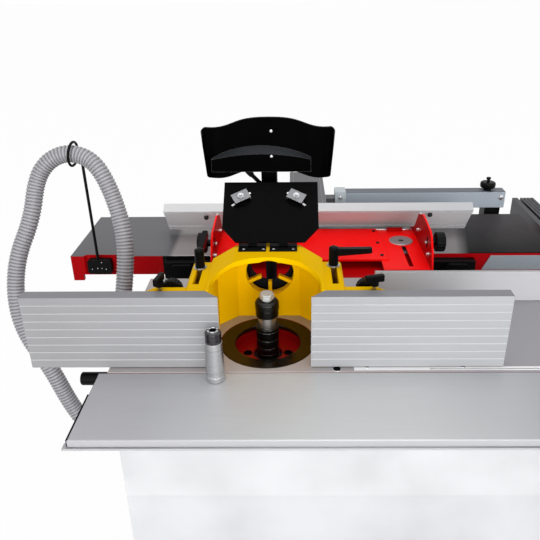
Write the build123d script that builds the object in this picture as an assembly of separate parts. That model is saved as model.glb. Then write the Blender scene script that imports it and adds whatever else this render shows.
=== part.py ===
from build123d import *
import os
from math import asin, cos, pi, radians, sin, sqrt, tan

# Combination woodworking machine: spindle moulder, table saw and planer thicknesser on one base.
# Millimetres. X runs along the saw cut, Y away from the moulder's operator and Z up. While the
# pieces are drawn, zero is on the moulder spindle's axis at the table top.

RUN = 0.05                  # radial clearance of a shaft that turns or slides in its bore
EASE = 0.3                  # clearance of a piece that lies in a recess
SIDE = 2.0                  # room beside a piece that moves past another

# Fixed table: a ribbed casting, ground on top
TABLE_HEIGHT = 860.0        # table top above the floor
TABLE_LEFT = -326.0
TABLE_LENGTH = 1174.0
TABLE_NEAR = -118.0
TABLE_DEPTH = 434.0
TABLE_PLATE = 14.0
TABLE_RIM = 12.0
TABLE_SKIRT = 50.0
TABLE_RIGHT = TABLE_LEFT + TABLE_LENGTH
TABLE_FAR = TABLE_NEAR + TABLE_DEPTH

# Base cabinet, saw housing and feet
WALL = 3.0
CABINET_RIGHT = 640.0
CABINET_FAR = 802.0
CABINET_TOP = -340.0
FOOT_HEIGHT = 30.0
FOOT_R = 35.0
FOOT_INSET = 60.0
HOLE_MARGIN = 26.0          # rim of the cabinet's roof under the housing's walls
CABINET_FOOT = FOOT_HEIGHT - TABLE_HEIGHT

# Door in the cabinet's right wall
DOOR_NEAR = 60.0
DOOR_WIDTH = 360.0
DOOR_HEIGHT = 390.0
DOOR_FOOT = 40.0            # above the cabinet's floor
DOOR_T = 5.0
DOOR_LAP = 20.0
DOOR_PIN_R = 2.5
DOOR_BARREL_R = 5.0
DOOR_BARREL = 40.0
DOOR_BARREL_INSET = 40.0
DOOR_FAR = DOOR_NEAR + DOOR_WIDTH
DOOR_Z0 = CABINET_FOOT + DOOR_FOOT
DOOR_Z1 = DOOR_Z0 + DOOR_HEIGHT
DOOR_PIN_X = CABINET_RIGHT + DOOR_T + DOOR_BARREL_R
DOOR_PIN_Y = DOOR_FAR + DOOR_BARREL_R

# Switch box on the housing's right wall, with its two buttons
SWITCH_NEAR = -60.0
SWITCH_WIDTH = 80.0
SWITCH_FOOT = -220.0
SWITCH_HEIGHT = 110.0
SWITCH_DEPTH = 45.0
BUTTON_R = 15.0
BUTTON_PROUD = 8.0
BUTTON_TRAVEL = 4.0
BUTTON_STEM = 12.0
BUTTON_SPACING = 50.0
SWITCH_Y = SWITCH_NEAR + SWITCH_WIDTH / 2
SWITCH_Z = SWITCH_FOOT + SWITCH_HEIGHT / 2

# Handwheels on the cabinet
WHEEL_R = 70.0
WHEEL_RIM_R = 8.0
WHEEL_HUB_R = 18.0
WHEEL_HUB = 26.0
WHEEL_SHAFT_R = 8.0
WHEEL_GRIP_R = 9.0
WHEEL_GRIP = 55.0
WHEEL_SPOKE = 12.0
WHEEL_Z = -600.0
SPINDLE_WHEEL_X = -120.0
SAW_WHEEL_X = 330.0
BED_WHEEL_X = 250.0

# Table ring and the bowl that hangs under it
RING_R = 105.0
RING_BORE_R = 72.0
RING_T = 8.0
RING_LEDGE = 10.0
BOWL_R = 82.0
BOWL_WALL = 6.0
BOWL_FLANGE = 22.0
BOWL_FLANGE_T = 6.0
BOWL_DEPTH = 38.0
BOWL_FLOOR = 8.0
BOWL_BOLT_X = 45.0
BOWL_BOLT_R = 9.5

# Moulder spindle with its spacer rings, collar and bolt
SHAFT_R = 15.0
SPACER_R = 25.0
SPACER_HEIGHTS = (8.0, 15.5, 19.5, 20.5, 8.0, 26.5, 17.5)
WAIST_RING = 5              # the narrow bright ring's place among them
WAIST_R = 20.0
SPACER_FOOT = -30.0
SHOULDER_R = 21.0
SHOULDER_T = 5.0
COLLAR_R = 26.0
COLLAR_T = 19.5
COLLAR_ROUND = 8.0
BOLT_FLANGE_R = 12.0
BOLT_FLANGE_T = 3.0
BOLT_FLATS = 27.0
BOLT_HEAD = 12.5
BOLT_CHAMFER = 2.0
SPACER_TOP = SPACER_FOOT + sum(SPACER_HEIGHTS)

# Quill carriage on two columns, its motor and belt
QUILL_NOSE_R = 30.0
QUILL_NOSE_FOOT = -110.0
QUILL_R = 42.0
QUILL_FOOT = -250.0
QUILL_BLOCK_FOOT = -230.0
QUILL_BLOCK_T = 50.0
QUILL_COLUMN_X = 75.0
QUILL_COLUMN_Y = 95.0
QUILL_COLUMN_R = 15.0
COLUMN_WALL = 15.0
COLUMN_FOOT = -325.0
MOTOR_R = 70.0
MOTOR_Y = 200.0
MOTOR_TOP = -120.0
MOTOR_LENGTH = 195.0
MOTOR_PAD = 80.0
MOTOR_PAD_TOP = -140.0
MOTOR_PULLEY_R = 45.0
SPINDLE_PULLEY_R = 30.0
PULLEY_T = 24.0
BELT_T = 5.0
BELT_W = 16.0
QUILL_TOP = SPACER_FOOT - SHOULDER_T
PULLEY_TOP = MOTOR_TOP - MOTOR_LENGTH
QUILL_BACK = QUILL_COLUMN_Y + QUILL_BLOCK_T / 2

# Saw: insert strip, blade, arbor and carriage
INSERT_LEFT = 181.0
INSERT_END_ROOM = 107.0      # from the insert to the table's right end
INSERT_WIDTH = 13.0
INSERT_T = 6.0
INSERT_SETBACK = 5.0
SLOT_WIDTH = 5.0
BLADE_X = 470.0
BLADE_R = 125.0
BLADE_T = 2.8
BLADE_TEETH = 24
TOOTH_LINE = ((0.0, 1.0), (0.18, 0.93), (0.75, 0.955))  # shares of a tooth's pitch and of the radius
BLADE_SINK = 15.0           # blade's crown under the table top at rest
BLADE_END_ROOM = 8.0
FLANGE_R = 28.0
FLANGE_T = 4.0
ARBOR_R = 12.0
ARBOR_SLEEVE_R = 26.0
ARBOR_LENGTH = 190.0
SAW_COLUMN_X = 75.0
SAW_COLUMN_Y = 30.0
SAW_COLUMN_R = 12.0
SAW_BLOCK_T = 50.0
SAW_BLOCK_UP = 28.0
SAW_BLOCK_DOWN = 60.0
SAW_MOTOR_R = 58.0
SAW_MOTOR_LENGTH = 190.0
SAW_MOTOR_PAD = 60.0
INSERT_LENGTH = TABLE_RIGHT - INSERT_END_ROOM - INSERT_LEFT
INSERT_NEAR = TABLE_NEAR + INSERT_SETBACK
BLADE_Y = INSERT_NEAR + INSERT_WIDTH / 2
ARBOR_Z = -BLADE_R - BLADE_SINK

# Sliding table on its rail
SLIDE_LEFT = -343.0
SLIDE_LENGTH = 1198.0
SLIDE_WIDTH = 203.0
SLIDE_GAP = 2.0
SLIDE_T = 16.0
SLIDE_LIP = 4.0
SLIDE_LIP_T = 3.5
SLIDE_LIP_W = 16.0
SLIDE_LIP_END = 10.0        # lip past the table's left end
SLIDE_GROOVE = 2.0          # shadow gap above the lip
SLIDE_EDGE = 1.5
BEAM_WIDTH = 60.0
BEAM_WALL = 12.0
BEAM_DEPTH = 36.0
BEAM_SETBACK = 70.0         # from the table's far edge
RAIL_INSET = 14.0
RAIL_DEPTH = 70.0
ARM_WIDTH = 40.0
ARM_T = 46.0
ARM_PLACES = (-230.0, 160.0, 580.0)
SLIDE_FAR = TABLE_NEAR - SLIDE_GAP
SLIDE_NEAR = SLIDE_FAR - SLIDE_WIDTH
BEAM_FAR = SLIDE_FAR - BEAM_SETBACK
BEAM_NEAR = BEAM_FAR - BEAM_WIDTH
SLIDE_Z = -SLIDE_T

# Lock handle at the table's left end
LOCK_Y = -92.0
LOCK_Z = -33.0
LOCK_R = 14.0
LOCK_LENGTH = 55.0
LOCK_NECK_R = 8.0
LOCK_NECK = 10.0

# Collet chuck standing on the sliding table
CHUCK_X = -100.0
CHUCK_INSET = 20.0          # chuck's axis from the sliding table's far edge
CHUCK_FOOT_R = 19.4
CHUCK_FOOT_T = 12.0
CHUCK_R = 18.6
CHUCK_NECK_R = 17.2
CHUCK_BODY = 76.0
CHUCK_NUT_R = 16.2
CHUCK_NUT = 26.0
CHUCK_BORE_R = 7.0
CHUCK_SLOTS = 6
CHUCK_SLOT = 5.0
CHUCK_SLOT_AT = 0.7         # share of the nut's height at the slots' middle
CHUCK_Y = SLIDE_FAR - CHUCK_INSET

# Fence plates of the moulder
FENCE_FACE = -102.0
FENCE_T = 28.0
FENCE_FOOT = 2.0
FENCE_HEIGHT = 163.0
FENCE_MOUTH = 92.0          # inner end of each plate from the spindle's axis, on the face
FENCE_LENGTH = {-1: 393.0, 1: 397.0}    # left and right
FENCE_RIBS = 9
FENCE_GROOVE = 1.6
FENCE_GROOVE_W = 2.4
FENCE_BACK = FENCE_FACE + FENCE_T

# Spindle hood
HOOD_HALF = 113.0           # chamber's half width between its side walls
HOOD_CREASE = 72.0          # half width of its back wall
HOOD_BACK = 114.0
HOOD_WALL = 8.0
HOOD_HEIGHT = 163.0
ROOF_T = 12.0
ROOF_HALF = HOOD_HALF + HOOD_WALL
ROOF_SHOULDER = 81.0
ROOF_FAR = 132.0
ROOF_FLAT = HOOD_CREASE
ROOF_DROP = 10.0            # the roof's two sides fall to this below its flat
ROOF_CUT_R = HOOD_HALF
ROOF_CUT_Y = -49.0
OUTLET_X = 3.0
OUTLET_R = 55.0
OUTLET_WALL = 4.0
OUTLET_Z = 112.0
OUTLET_END = 165.0
SPOKE = 34.0
SPOKE_T = 8.0
SPOKE_W = 12.0
SPOKE_Y = 118.0
SPOKE_ANGLES = (-27.0, 206.0, 270.0)
EAR_OUT = 162.0
EAR_NEAR = FENCE_BACK
EAR_FAR = 66.0
EAR_TOP = 163.0
EAR_ROOF = 13.0
EAR_WALL = 8.0
EAR_SLOT_W = 13.0
EAR_SLOT_NEAR = -40.0
EAR_SLOT_FAR = 54.0
WING_OUT = 256.0
WING_T = 30.0
WING_FOOT = 96.0
WING_TOP = 158.0
WING_CUT = 30.0
ROOF_TOP = HOOD_HEIGHT + ROOF_T

# Clamp levers, T-knobs and adjusting wheels on the hood
LEVER_X = 144.0
LEVER_Y = {"left": 38.0, "right": 47.0}
LEVER_STUD_R = 5.0
LEVER_WASHER_R = 14.0
LEVER_WASHER = 2.5
LEVER_HUB_R = 10.5
LEVER_HUB = 42.0
LEVER_ARM = 77.0
LEVER_ARM_W = 13.0
LEVER_ROOT_T = 17.0         # the arm's height at the hub, tapering to its tip
LEVER_TIP_T = 11.0
LEVER_RISE = 9.0            # degrees the arm climbs towards its tip
LEVER_TURNS = {"left": 87.0, "right": -20.0}
KNOB_X = {"left": -214.0, "right": 220.0}
KNOB_TURNS = {"left": 80.0, "right": 15.0}
KNOB_Y = -57.0
KNOB_STUD_R = 4.0
KNOB_STUD = 10.0
KNOB_HUB_R = 9.0
KNOB_HUB = 9.0
KNOB_BAR = 40.0
KNOB_BAR_W = 11.0
KNOB_BAR_T = 15.0
ADJUST_X = {"left": -194.0, "right": 208.0}
ADJUST_Z = 148.0
ADJUST_R = 22.0
ADJUST_T = 16.0
ADJUST_NECK = 6.0
ADJUST_NECK_R = 6.0
ADJUST_RIBS = 18

# Flap on two hinges at the back of the hood's roof
FLAP_Y = 118.0
FLAP_OPEN = 37.0            # degrees above level at rest
FLAP_LENGTH = 172.0
FLAP_WIDTH = 222.0
FLAP_FOOT_WIDTH = 158.0
FLAP_CORNER = 38.0
FLAP_T = 4.0
FLAP_START = 7.0
FLAP_SHIFT = 5.0            # flap's middle, right of the spindle's axis
HINGE_BARREL_R = 5.0
HINGE_PIN_R = 2.5
HINGE_LENGTH = 62.0
HINGE_SPACING = 70.0
HINGE_MIDDLE = 0.0
HINGE_LEAF = 18.0
HINGE_LEAF_T = 2.5
HINGE_LIFT = 1.0
FLAP_SLOT = 58.0
FLAP_SLOT_W = 7.0
FLAP_SLOT_TURN = 41.0       # degrees each slot leans from the hinge's line
CLAMP_SPACING = 130.0
CLAMP_REACH = 125.0
CLAMP_LENGTH = 40.0
CLAMP_WIDTH = 26.0
CLAMP_TURN = 28.0           # degrees each clamp's plate leans from the hinge's line
CLAMP_WASHER_R = 21.0
CLAMP_T = 3.0
CLAMP_HEIGHT = 12.0
CLAMP_BOLT_R = 4.0
CLAMP_BOLT_PROUD = 8.0
FLAP_Z = ROOF_TOP + HINGE_LIFT + HINGE_BARREL_R

# Guard shield with its visor, on a post behind the hood
POST_Y = 299.0
POST_R = 14.5
POST_TOP = 400.0
STOP_R = 22.0
STOP_FOOT = 250.0
STOP_T = 20.0
SLEEVE_HALF = 19.0
SLEEVE_HEIGHT = 80.0
SHIELD_Y = 276.0
SHIELD_T = 4.0
SHIELD_FLAT = 108.0
SHIELD_BEND_R = 55.0
SHIELD_BEND = 60.0          # degrees each wing turns forward
SHIELD_FOOT = 292.0
SHIELD_HEEL = 299.0         # foot of each wing's front edge
SHIELD_LEAN = 9.0           # each wing's front edge leans in this much at its foot
SHIELD_SIDE = 422.0
SHIELD_DIP = 416.0
SHIELD_BROW = 430.0
SHIELD_CROWN = 437.0
SHIELD_ARCH = 306.0
SHIELD_CREST = 66.0
SHIELD_ROUND = 9.0
VISOR_LEFT = -135.0
VISOR_RIGHT = 100.0
VISOR_NEAR = 252.0
VISOR_FOOT = 312.0
VISOR_FACE = 30.0
VISOR_CROWN = 13.0
VISOR_BACK = 15.0
STOP_TOP = STOP_FOOT + STOP_T

# Rip fence on its guide rail
RIP_Y = 182.5
RIP_LEFT = 256.0
RIP_T = 9.0
RIP_HEIGHT = 80.0
RIP_FOOT = 1.0
RIP_SOLE = 40.0
RIP_SOLE_T = 9.0
RIP_RAIL_W = 74.0
RIP_RAIL_DEPTH = 60.0
RIP_RAIL_FAR = 958.0
RIP_RAIL_GROOVE = 10.0
RIP_RAIL_NARROW = 18.0
RIP_RAIL_SLOT = 22.0
RIP_RAIL_RIB = 4.0
RIP_CARRIAGE_W = 96.0
RIP_CARRIAGE_T = 30.0
RIP_LEVER_R = 7.0
RIP_LEVER = 70.0
RIP_ARM_R = 5.6
RIP_BALL_R = 9.1
RIP_RAIL_X = TABLE_RIGHT
RIP_RAIL_RIGHT = RIP_RAIL_X + RIP_RAIL_W

# Planer tables, cutter block, feed rollers and thickness bed
PLANER_NEAR = 465.0
PLANER_WIDTH = 319.0
PLANER_PLATE = 14.0
PLANER_RIM = 12.0
PLANER_SKIRT = 60.0
PLANER_FOOT = 79.0
PLANER_FOOT_W = 30.0
INFEED_END = -590.0
INFEED_SKIRT_END = -316.0
OUTFEED_CLEAR = 33.0        # from the outfeed table's end to the rip rail
OUTFEED_SKIRT = 233.0
CUT_DEPTH = 4.0             # outfeed table above the infeed table
CUTTER_X = 105.0
CUTTER_R = 36.0
CUTTER_DROP = 0.5
CUTTER_JOURNAL_R = 12.0
CUTTER_KNIVES = 3
CUTTER_GROOVE = 12.0
CUTTER_TURN = 30.0          # degrees of its first knife at rest
LIP_X = 40.0                # table lips from the cutter's axis
RECESS_LEFT = -552.0
RECESS_RIGHT = -452.0
RECESS_DEPTH = 8.0
RECESS_FOOT = -55.0
PANEL_INSET = 24.0
PANEL_T = 4.0
PANEL_TOP = -4.0
PANEL_FOOT = -48.0
ROLLER_R = 19.0
ROLLER_X = 75.0             # feed rollers from the cutter's axis
ROLLER_Z = -62.0
ROLLER_JOURNAL_R = 8.0
BED_TOP = -260.0
BED_T = 40.0
BED_LENGTH = 550.0
BED_COLUMN_R = 30.0
BED_COLUMN = 250.0
OUTFEED_END = TABLE_RIGHT - OUTFEED_CLEAR
OUTFEED_SKIRT_END = OUTFEED_END - OUTFEED_SKIRT
PANEL_LEFT = OUTFEED_SKIRT_END + PANEL_INSET
PLANER_FAR = PLANER_NEAR + PLANER_WIDTH
CUTTER_Z = CUT_DEPTH - CUTTER_R - CUTTER_DROP
BED_Y = PLANER_NEAR + PLANER_WIDTH / 2

# Planer frame and motor
FRAME_GAP = 3.0
FRAME_NEAR_T = 22.0
FRAME_FAR_T = 12.0
FRAME_BASE_T = 10.0
FRAME_LEFT = -313.0
FRAME_RIGHT = OUTFEED_SKIRT_END - SIDE
FRAME_FAR_LEFT = -100.0
FRAME_FAR_REACH = 59.0      # far plate past the guard post's left side
FRAME_BASE_LEFT = -150.0
FRAME_BASE_RIGHT = 360.0
FRAME_TOP = -12.0
FRAME_FAR_TOP = -10.0
LUG_W = 40.0
LUG_REACH = 16.0
LUG_T = 30.0
INFEED_LUGS = (-240.0, -30.0)
LUG_INSET = 62.0
OUTFEED_LUGS = (240.0, OUTFEED_SKIRT_END - LUG_INSET)
BOSS_T = 12.0
BOSS_W = 98.0
BOSS_H = 70.0
BOSS_CUT = 24.0
BOSS_LEFT = -312.0
BOSS_INSET = 4.0
BOSS_TOP = -16.0
PLANER_MOTOR_R = 80.0
PLANER_MOTOR_LENGTH = 220.0
PLANER_MOTOR_NEAR = 500.0
PLANER_MOTOR_LIFT = 127.0    # motor's axis above the cabinet's floor
PLANER_MOTOR_FOOT = 120.0
BOSS_RIGHT = FRAME_RIGHT - BOSS_INSET - BOSS_W
PLANER_MOTOR_Z = CABINET_FOOT + WALL + PLANER_MOTOR_LIFT
FRAME_NEAR = PLANER_NEAR - FRAME_GAP - FRAME_NEAR_T
FRAME_INNER_NEAR = PLANER_NEAR - FRAME_GAP
FRAME_INNER_FAR = PLANER_FAR + FRAME_GAP
FRAME_FAR = FRAME_INNER_FAR + FRAME_FAR_T

# Planer fence, its carriage and the support it slides on
SUPPORT_T = 8.0
SUPPORT_GAP = 2.0
CARRIAGE_LEFT = -162.5
CARRIAGE_RIGHT = 429.5
CARRIAGE_SHEET = 3.0
CARRIAGE_Z = 18.0
CARRIAGE_NEAR = 380.0
CARRIAGE_FAR = 606.0
TONGUE_LEFT = 300.0
TONGUE_NEAR = 320.0
CHEEK_T = 5.0
CHEEK_NEAR = 314.0
CHEEK_RISE = 7.0            # the cheek's foot, clear of the planer tables
CHEEK_FRONT = (330.0, 63.0)
CHEEK_BROW = (357.0, 99.0)
CHEEK_SHOULDER = (377.0, 109.0)
CHEEK_CREST = (483.0, 117.0)
CHEEK_TOP = (536.0, 97.0)
CHEEK_HEEL = (580.0, 42.0)
GUIDE_SLOT_X = 376.0
GUIDE_SLOT_W = 12.0
GUIDE_SLOT_NEAR = 340.0
GUIDE_SLOT_FAR = 480.0
RUNNER_NEAR = 400.0
RUNNER_FAR = 435.0
RUNNER_W = 24.0
RUNNER_INSET = 20.0
RIDGE_T = 3.0
RIDGE_RIGHT = 316.0
RIDGE_SLOPE = 11.0
PLANER_FENCE_LEFT = -331.0
PLANER_FENCE_RIGHT = 596.0
PLANER_FENCE_T = 30.0
PLANER_FENCE_HEIGHT = 112.0
PLANER_FENCE_Y = 641.0      # axis of the two pins it tilts on
PLANER_FENCE_Z = 12.5
PLANER_FENCE_SOLE = 6.0     # fence's foot below its pins
PLANER_FENCE_TILT = 40.0    # degrees off upright at rest, top towards the moulder
FENCE_PIN_R = 3.5
FENCE_BARREL_R = 5.5
FENCE_BARREL = 22.0
FENCE_NOTCH_R = 9.0
PROFILE_WALL = 4.0
FENCE_LIP = 18.0            # height of the planer fence's upper rail
FENCE_FOOT_RAIL = 21.0
FENCE_WEB_DEPTH = 2.0       # the web between its rails lies back by this much
FENCE_RAIL_EDGE = 1.5
TILT_KNOB_R = 27.0
TILT_KNOB_T = 26.0
TILT_KNOB_NECK = 16.5
TILT_KNOB_Y = 398.0
TILT_KNOB_Z = 68.0
TILT_KNOB_RIBS = 16
SUPPORT_TOP = FRAME_TOP + SUPPORT_T

# Cutter guard: post, arm, round knob and bar
GUARD_POST_INSET = 114.0    # from the outfeed table's end
GUARD_POST_W = 68.0
GUARD_POST_FOOT = -140.0
GUARD_POST_TOP = 20.0
GUARD_POST_T = 48.0
GUARD_EAR_T = 6.0
GUARD_PIVOT_IN = 51.0       # pivot from the post's left side
GUARD_PIVOT_DROP = 20.0     # pivot below the arm's top
GUARD_PIN_R = 6.0
GUARD_PAD_END = 10.0        # pad under the arm stops this far short of the pivot
ARM_LEFT = 198.0
ARM_NOSE = 12.0             # arm past its pivot
ARM_W = 46.0
ARM_H = 56.0
ARM_WALL = 3.0
BRACKET_T = 12.0
BRACKET_W = 40.0
BRACKET_LEFT = 60.0
BRACKET_LINK = 24.0         # height of the bar that joins the bracket to the arm
BRACKET_LAP = 30.0
ARM_KNOB_IN = 8.0
ARM_KNOB_R = 25.0
ARM_KNOB_T = 20.0
ARM_KNOB_NECK = 8.0
ARM_KNOB_NECK_R = 13.0
ARM_KNOB_STEM = 9.0
ARM_KNOB_STEM_R = 5.0
ARM_KNOB_CAP = 6.0
ARM_KNOB_CAP_R = 7.5
BAR_LEFT = 47.0
BAR_WIDTH = 117.0
BAR_T = 9.0
BAR_NEAR = 690.0
BAR_FAR = 1043.0
BAR_EDGE = 12.0
GUARD_POST_LEFT = OUTFEED_END - GUARD_POST_INSET
GUARD_PIVOT_X = GUARD_POST_LEFT + GUARD_PIVOT_IN
FRAME_FAR_RIGHT = GUARD_POST_LEFT + FRAME_FAR_REACH
ARM_RIGHT = GUARD_PIVOT_X + ARM_NOSE
ARM_KNOB_X = GUARD_POST_LEFT + ARM_KNOB_IN
ARM_NEAR = FRAME_FAR
ARM_TOP = GUARD_POST_TOP + ARM_H
GUARD_PIVOT_Z = ARM_TOP - GUARD_PIVOT_DROP
BAR_Z = ARM_TOP - BAR_T

# Dust hose, its two ports on the cabinet's left wall and its holder on the infeed table
HOSE_R = 23.0
HOSE_BEND = 0.45            # share of a run that its bend may take
PORT_WALL = 4.0
PORT_LENGTH = 40.0
PORT_FLANGE = 14.0
PORT_FLANGE_T = 5.0
LOW_PORT = (250.0, -490.0)
HIGH_PORT = (262.0, -380.0)
HIGH_PORT_X = -395.0        # the upper port turns up here
HIGH_PORT_RISE = 42.0
HOLDER_LEFT = -541.0
HOLDER_WIDTH = 70.0
HOLDER_TOP = -9.0
HOLDER_FOOT = -54.0
HOLDER_PROUD = 10.0
HOLDER_CORNER = 9.0
ROD_R = 4.0
ROD_FOOT = (-508.0, 458.0, -20.0)
ROD_TOP = (-520.0, 484.0, 300.0)     # behind the hose
LOOP_AT = 0.595             # share of the hose's length below its holder
LOOP_CLEAR = 5.0            # room for the infeed table's rise
LOOP_WIRE_R = 3.5
PORT_TIP = TABLE_LEFT - PORT_LENGTH
HIGH_PORT_TOP = HIGH_PORT[1] + HIGH_PORT_RISE
HOSE_POINTS = [
    (PORT_TIP, *LOW_PORT),
    (-450, 250, -490),
    (-535, 258, -462),
    (-582, 266, -385),
    (-625, 273, -250),
    (-678, 287, -165),
    (-699, 306, -67),
    (-689, 342, 46),
    (-645, 388, 147),
    (-634, 433, 238),
    (-601, 445, 286),
    (-551, 451, 309),
    (-495, 445, 301),
    (-454, 427, 268),
    (-418, 403, 186),
    (-393, 365, 93),
    (-398, 326, -13),
    (-423, 295, -148),
    (-402, 280, -225),
    (HIGH_PORT_X, HIGH_PORT[0], -293),
    (HIGH_PORT_X, HIGH_PORT[0], HIGH_PORT_TOP),
]

# The origin of the finished part: the middle of its box, on the floor
CENTRE_X = (INFEED_END + RIP_RAIL_RIGHT) / 2
CENTRE_Y = (SLIDE_NEAR - SLIDE_LIP + BAR_FAR) / 2


def block(x0, x1, y0, y1, z0, z1):
    return Pos((x0 + x1) / 2, (y0 + y1) / 2, (z0 + z1) / 2) * Box(x1 - x0, y1 - y0, z1 - z0)


def rod_x(x0, x1, y, z, radius):
    return Pos((x0 + x1) / 2, y, z) * Rot(0, 90, 0) * Cylinder(radius, x1 - x0)


def rod_y(x, y0, y1, z, radius):
    return Pos(x, (y0 + y1) / 2, z) * Rot(90, 0, 0) * Cylinder(radius, y1 - y0)


def rod_z(x, y, z0, z1, radius):
    return Pos(x, y, (z0 + z1) / 2) * Cylinder(radius, z1 - z0)


def prism_x(points, x0, x1):
    """An outline in Y and Z, drawn out along X."""
    face = Plane.YZ.offset(x0) * make_face(Polyline(*points, close=True))
    return extrude(face, x1 - x0, dir=(1, 0, 0))


def prism_y(points, y0, y1):
    """An outline in X and Z, drawn out along Y."""
    face = Plane.XZ.offset(-y0) * make_face(Polyline(*points, close=True))
    return extrude(face, y1 - y0, dir=(0, 1, 0))


def prism_z(points, z0, z1):
    """An outline in X and Y, drawn out along Z."""
    face = Pos(0, 0, z0) * make_face(Polyline(*points, close=True))
    return extrude(face, z1 - z0, dir=(0, 0, 1))


def group(*solids):
    """Separate solids in one node."""
    return Compound(children=[s for shape in solids for s in shape.solids()])


def both_sides(shape):
    return shape + mirror(shape, about=Plane.YZ)


def lip_edges(shape, z):
    """Edges that lie level at height z."""
    return shape.edges().filter_by(lambda e: abs(e.bounding_box().min.Z - z) < 1e-6
                                   and abs(e.bounding_box().max.Z - z) < 1e-6)


def fixed_table():
    table = block(TABLE_LEFT, TABLE_RIGHT, TABLE_NEAR, TABLE_FAR, -TABLE_SKIRT, 0)
    table -= block(TABLE_LEFT + TABLE_RIM, TABLE_RIGHT - TABLE_RIM, TABLE_NEAR + TABLE_RIM,
                   TABLE_FAR - TABLE_RIM, -TABLE_SKIRT, -TABLE_PLATE)
    table = chamfer(lip_edges(table, 0), SLIDE_EDGE)
    table -= rod_z(0, 0, -TABLE_PLATE, 0, RING_R - RING_LEDGE)
    table -= rod_z(0, 0, -RING_T, 0, RING_R + EASE)
    table -= block(INSERT_LEFT - EASE, INSERT_LEFT + INSERT_LENGTH + EASE, INSERT_NEAR - EASE,
                   INSERT_NEAR + INSERT_WIDTH + EASE, -INSERT_T, 0)
    table -= blade_slot(-TABLE_SKIRT)
    reach = FLANGE_R + BLADE_END_ROOM
    pocket = BLADE_T / 2 + FLANGE_T + SIDE
    table -= block(BLADE_X - reach, BLADE_X + reach, BLADE_Y - pocket, BLADE_Y + pocket,
                   -TABLE_SKIRT, -TABLE_PLATE)
    return table


def blade_slot(foot):
    reach = BLADE_R + BLADE_END_ROOM
    return block(BLADE_X - reach, BLADE_X + reach, BLADE_Y - SLOT_WIDTH / 2,
                 BLADE_Y + SLOT_WIDTH / 2, foot, 0)


def table_insert():
    strip = block(INSERT_LEFT, INSERT_LEFT + INSERT_LENGTH, INSERT_NEAR,
                  INSERT_NEAR + INSERT_WIDTH, -INSERT_T, 0)
    return strip - blade_slot(-INSERT_T)


def table_ring():
    ring = rod_z(0, 0, -RING_T, 0, RING_R) - rod_z(0, 0, -RING_T, 0, RING_BORE_R)
    return chamfer(lip_edges(ring, 0), SLIDE_EDGE)


def spindle_bowl():
    bowl = rod_z(0, 0, -BOWL_DEPTH, -TABLE_PLATE, BOWL_R)
    bowl += rod_z(0, 0, -TABLE_PLATE - BOWL_FLANGE_T, -TABLE_PLATE, BOWL_R + BOWL_FLANGE)
    bowl -= rod_z(0, 0, -BOWL_DEPTH + BOWL_FLOOR, -TABLE_PLATE, BOWL_R - BOWL_WALL)
    bowl -= rod_z(0, 0, -BOWL_DEPTH, 0, QUILL_NOSE_R + SIDE)
    for x in (-BOWL_BOLT_X, BOWL_BOLT_X):
        bowl -= rod_z(x, 0, -BOWL_DEPTH, 0, BOWL_BOLT_R)
    return bowl


def base_cabinet():
    cabinet = block(TABLE_LEFT, CABINET_RIGHT, TABLE_NEAR, CABINET_FAR, CABINET_FOOT, CABINET_TOP)
    cabinet -= block(TABLE_LEFT + WALL, CABINET_RIGHT - WALL, TABLE_NEAR + WALL, CABINET_FAR - WALL,
                     CABINET_FOOT + WALL, CABINET_TOP - WALL)
    cabinet -= block(TABLE_LEFT + HOLE_MARGIN, CABINET_RIGHT - HOLE_MARGIN, TABLE_NEAR + HOLE_MARGIN,
                     TABLE_FAR - HOLE_MARGIN, CABINET_TOP - WALL, CABINET_TOP)
    cabinet -= rod_z(CUTTER_X, BED_Y, CABINET_TOP - WALL, CABINET_TOP, BED_COLUMN_R + SIDE)
    cabinet -= block(CABINET_RIGHT - WALL, CABINET_RIGHT, DOOR_NEAR + DOOR_LAP, DOOR_FAR - DOOR_LAP,
                     DOOR_Z0 + DOOR_LAP, DOOR_Z1 - DOOR_LAP)
    for x in (SPINDLE_WHEEL_X, SAW_WHEEL_X):
        cabinet -= rod_y(x, TABLE_NEAR, TABLE_NEAR + WALL, WHEEL_Z, WHEEL_SHAFT_R + RUN)
    cabinet -= rod_y(BED_WHEEL_X, CABINET_FAR - WALL, CABINET_FAR, WHEEL_Z, WHEEL_SHAFT_R + RUN)
    for y, z in (LOW_PORT, HIGH_PORT):
        cabinet += rod_x(TABLE_LEFT - PORT_FLANGE_T, TABLE_LEFT, y, z, HOSE_R + PORT_FLANGE)
    cabinet += rod_x(PORT_TIP, TABLE_LEFT, *LOW_PORT, HOSE_R) + high_port(HOSE_R)
    bore = HOSE_R - PORT_WALL
    cabinet -= rod_x(PORT_TIP, TABLE_LEFT + WALL, *LOW_PORT, bore) + high_port(bore)
    for low in door_barrels():
        pin = rod_z(DOOR_PIN_X, DOOR_PIN_Y, low - DOOR_BARREL, low + DOOR_BARREL, DOOR_PIN_R)
        seat = block(CABINET_RIGHT, DOOR_PIN_X + DOOR_BARREL_R, DOOR_PIN_Y - DOOR_BARREL_R,
                     DOOR_PIN_Y + DOOR_BARREL_R, low - DOOR_BARREL, low)
        cabinet += pin + seat
    return cabinet


def high_port(radius):
    """The upper port: out of the wall and then up."""
    y, z = HIGH_PORT
    elbow = Pos(HIGH_PORT_X, y, z) * Sphere(radius)
    return (rod_x(HIGH_PORT_X, TABLE_LEFT + WALL, y, z, radius) + elbow
            + rod_z(HIGH_PORT_X, y, z, HIGH_PORT_TOP, radius))


def door_barrels():
    """Feet of the door's two hinge barrels."""
    return DOOR_Z0 + DOOR_BARREL_INSET, DOOR_Z1 - DOOR_BARREL_INSET - DOOR_BARREL


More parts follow.
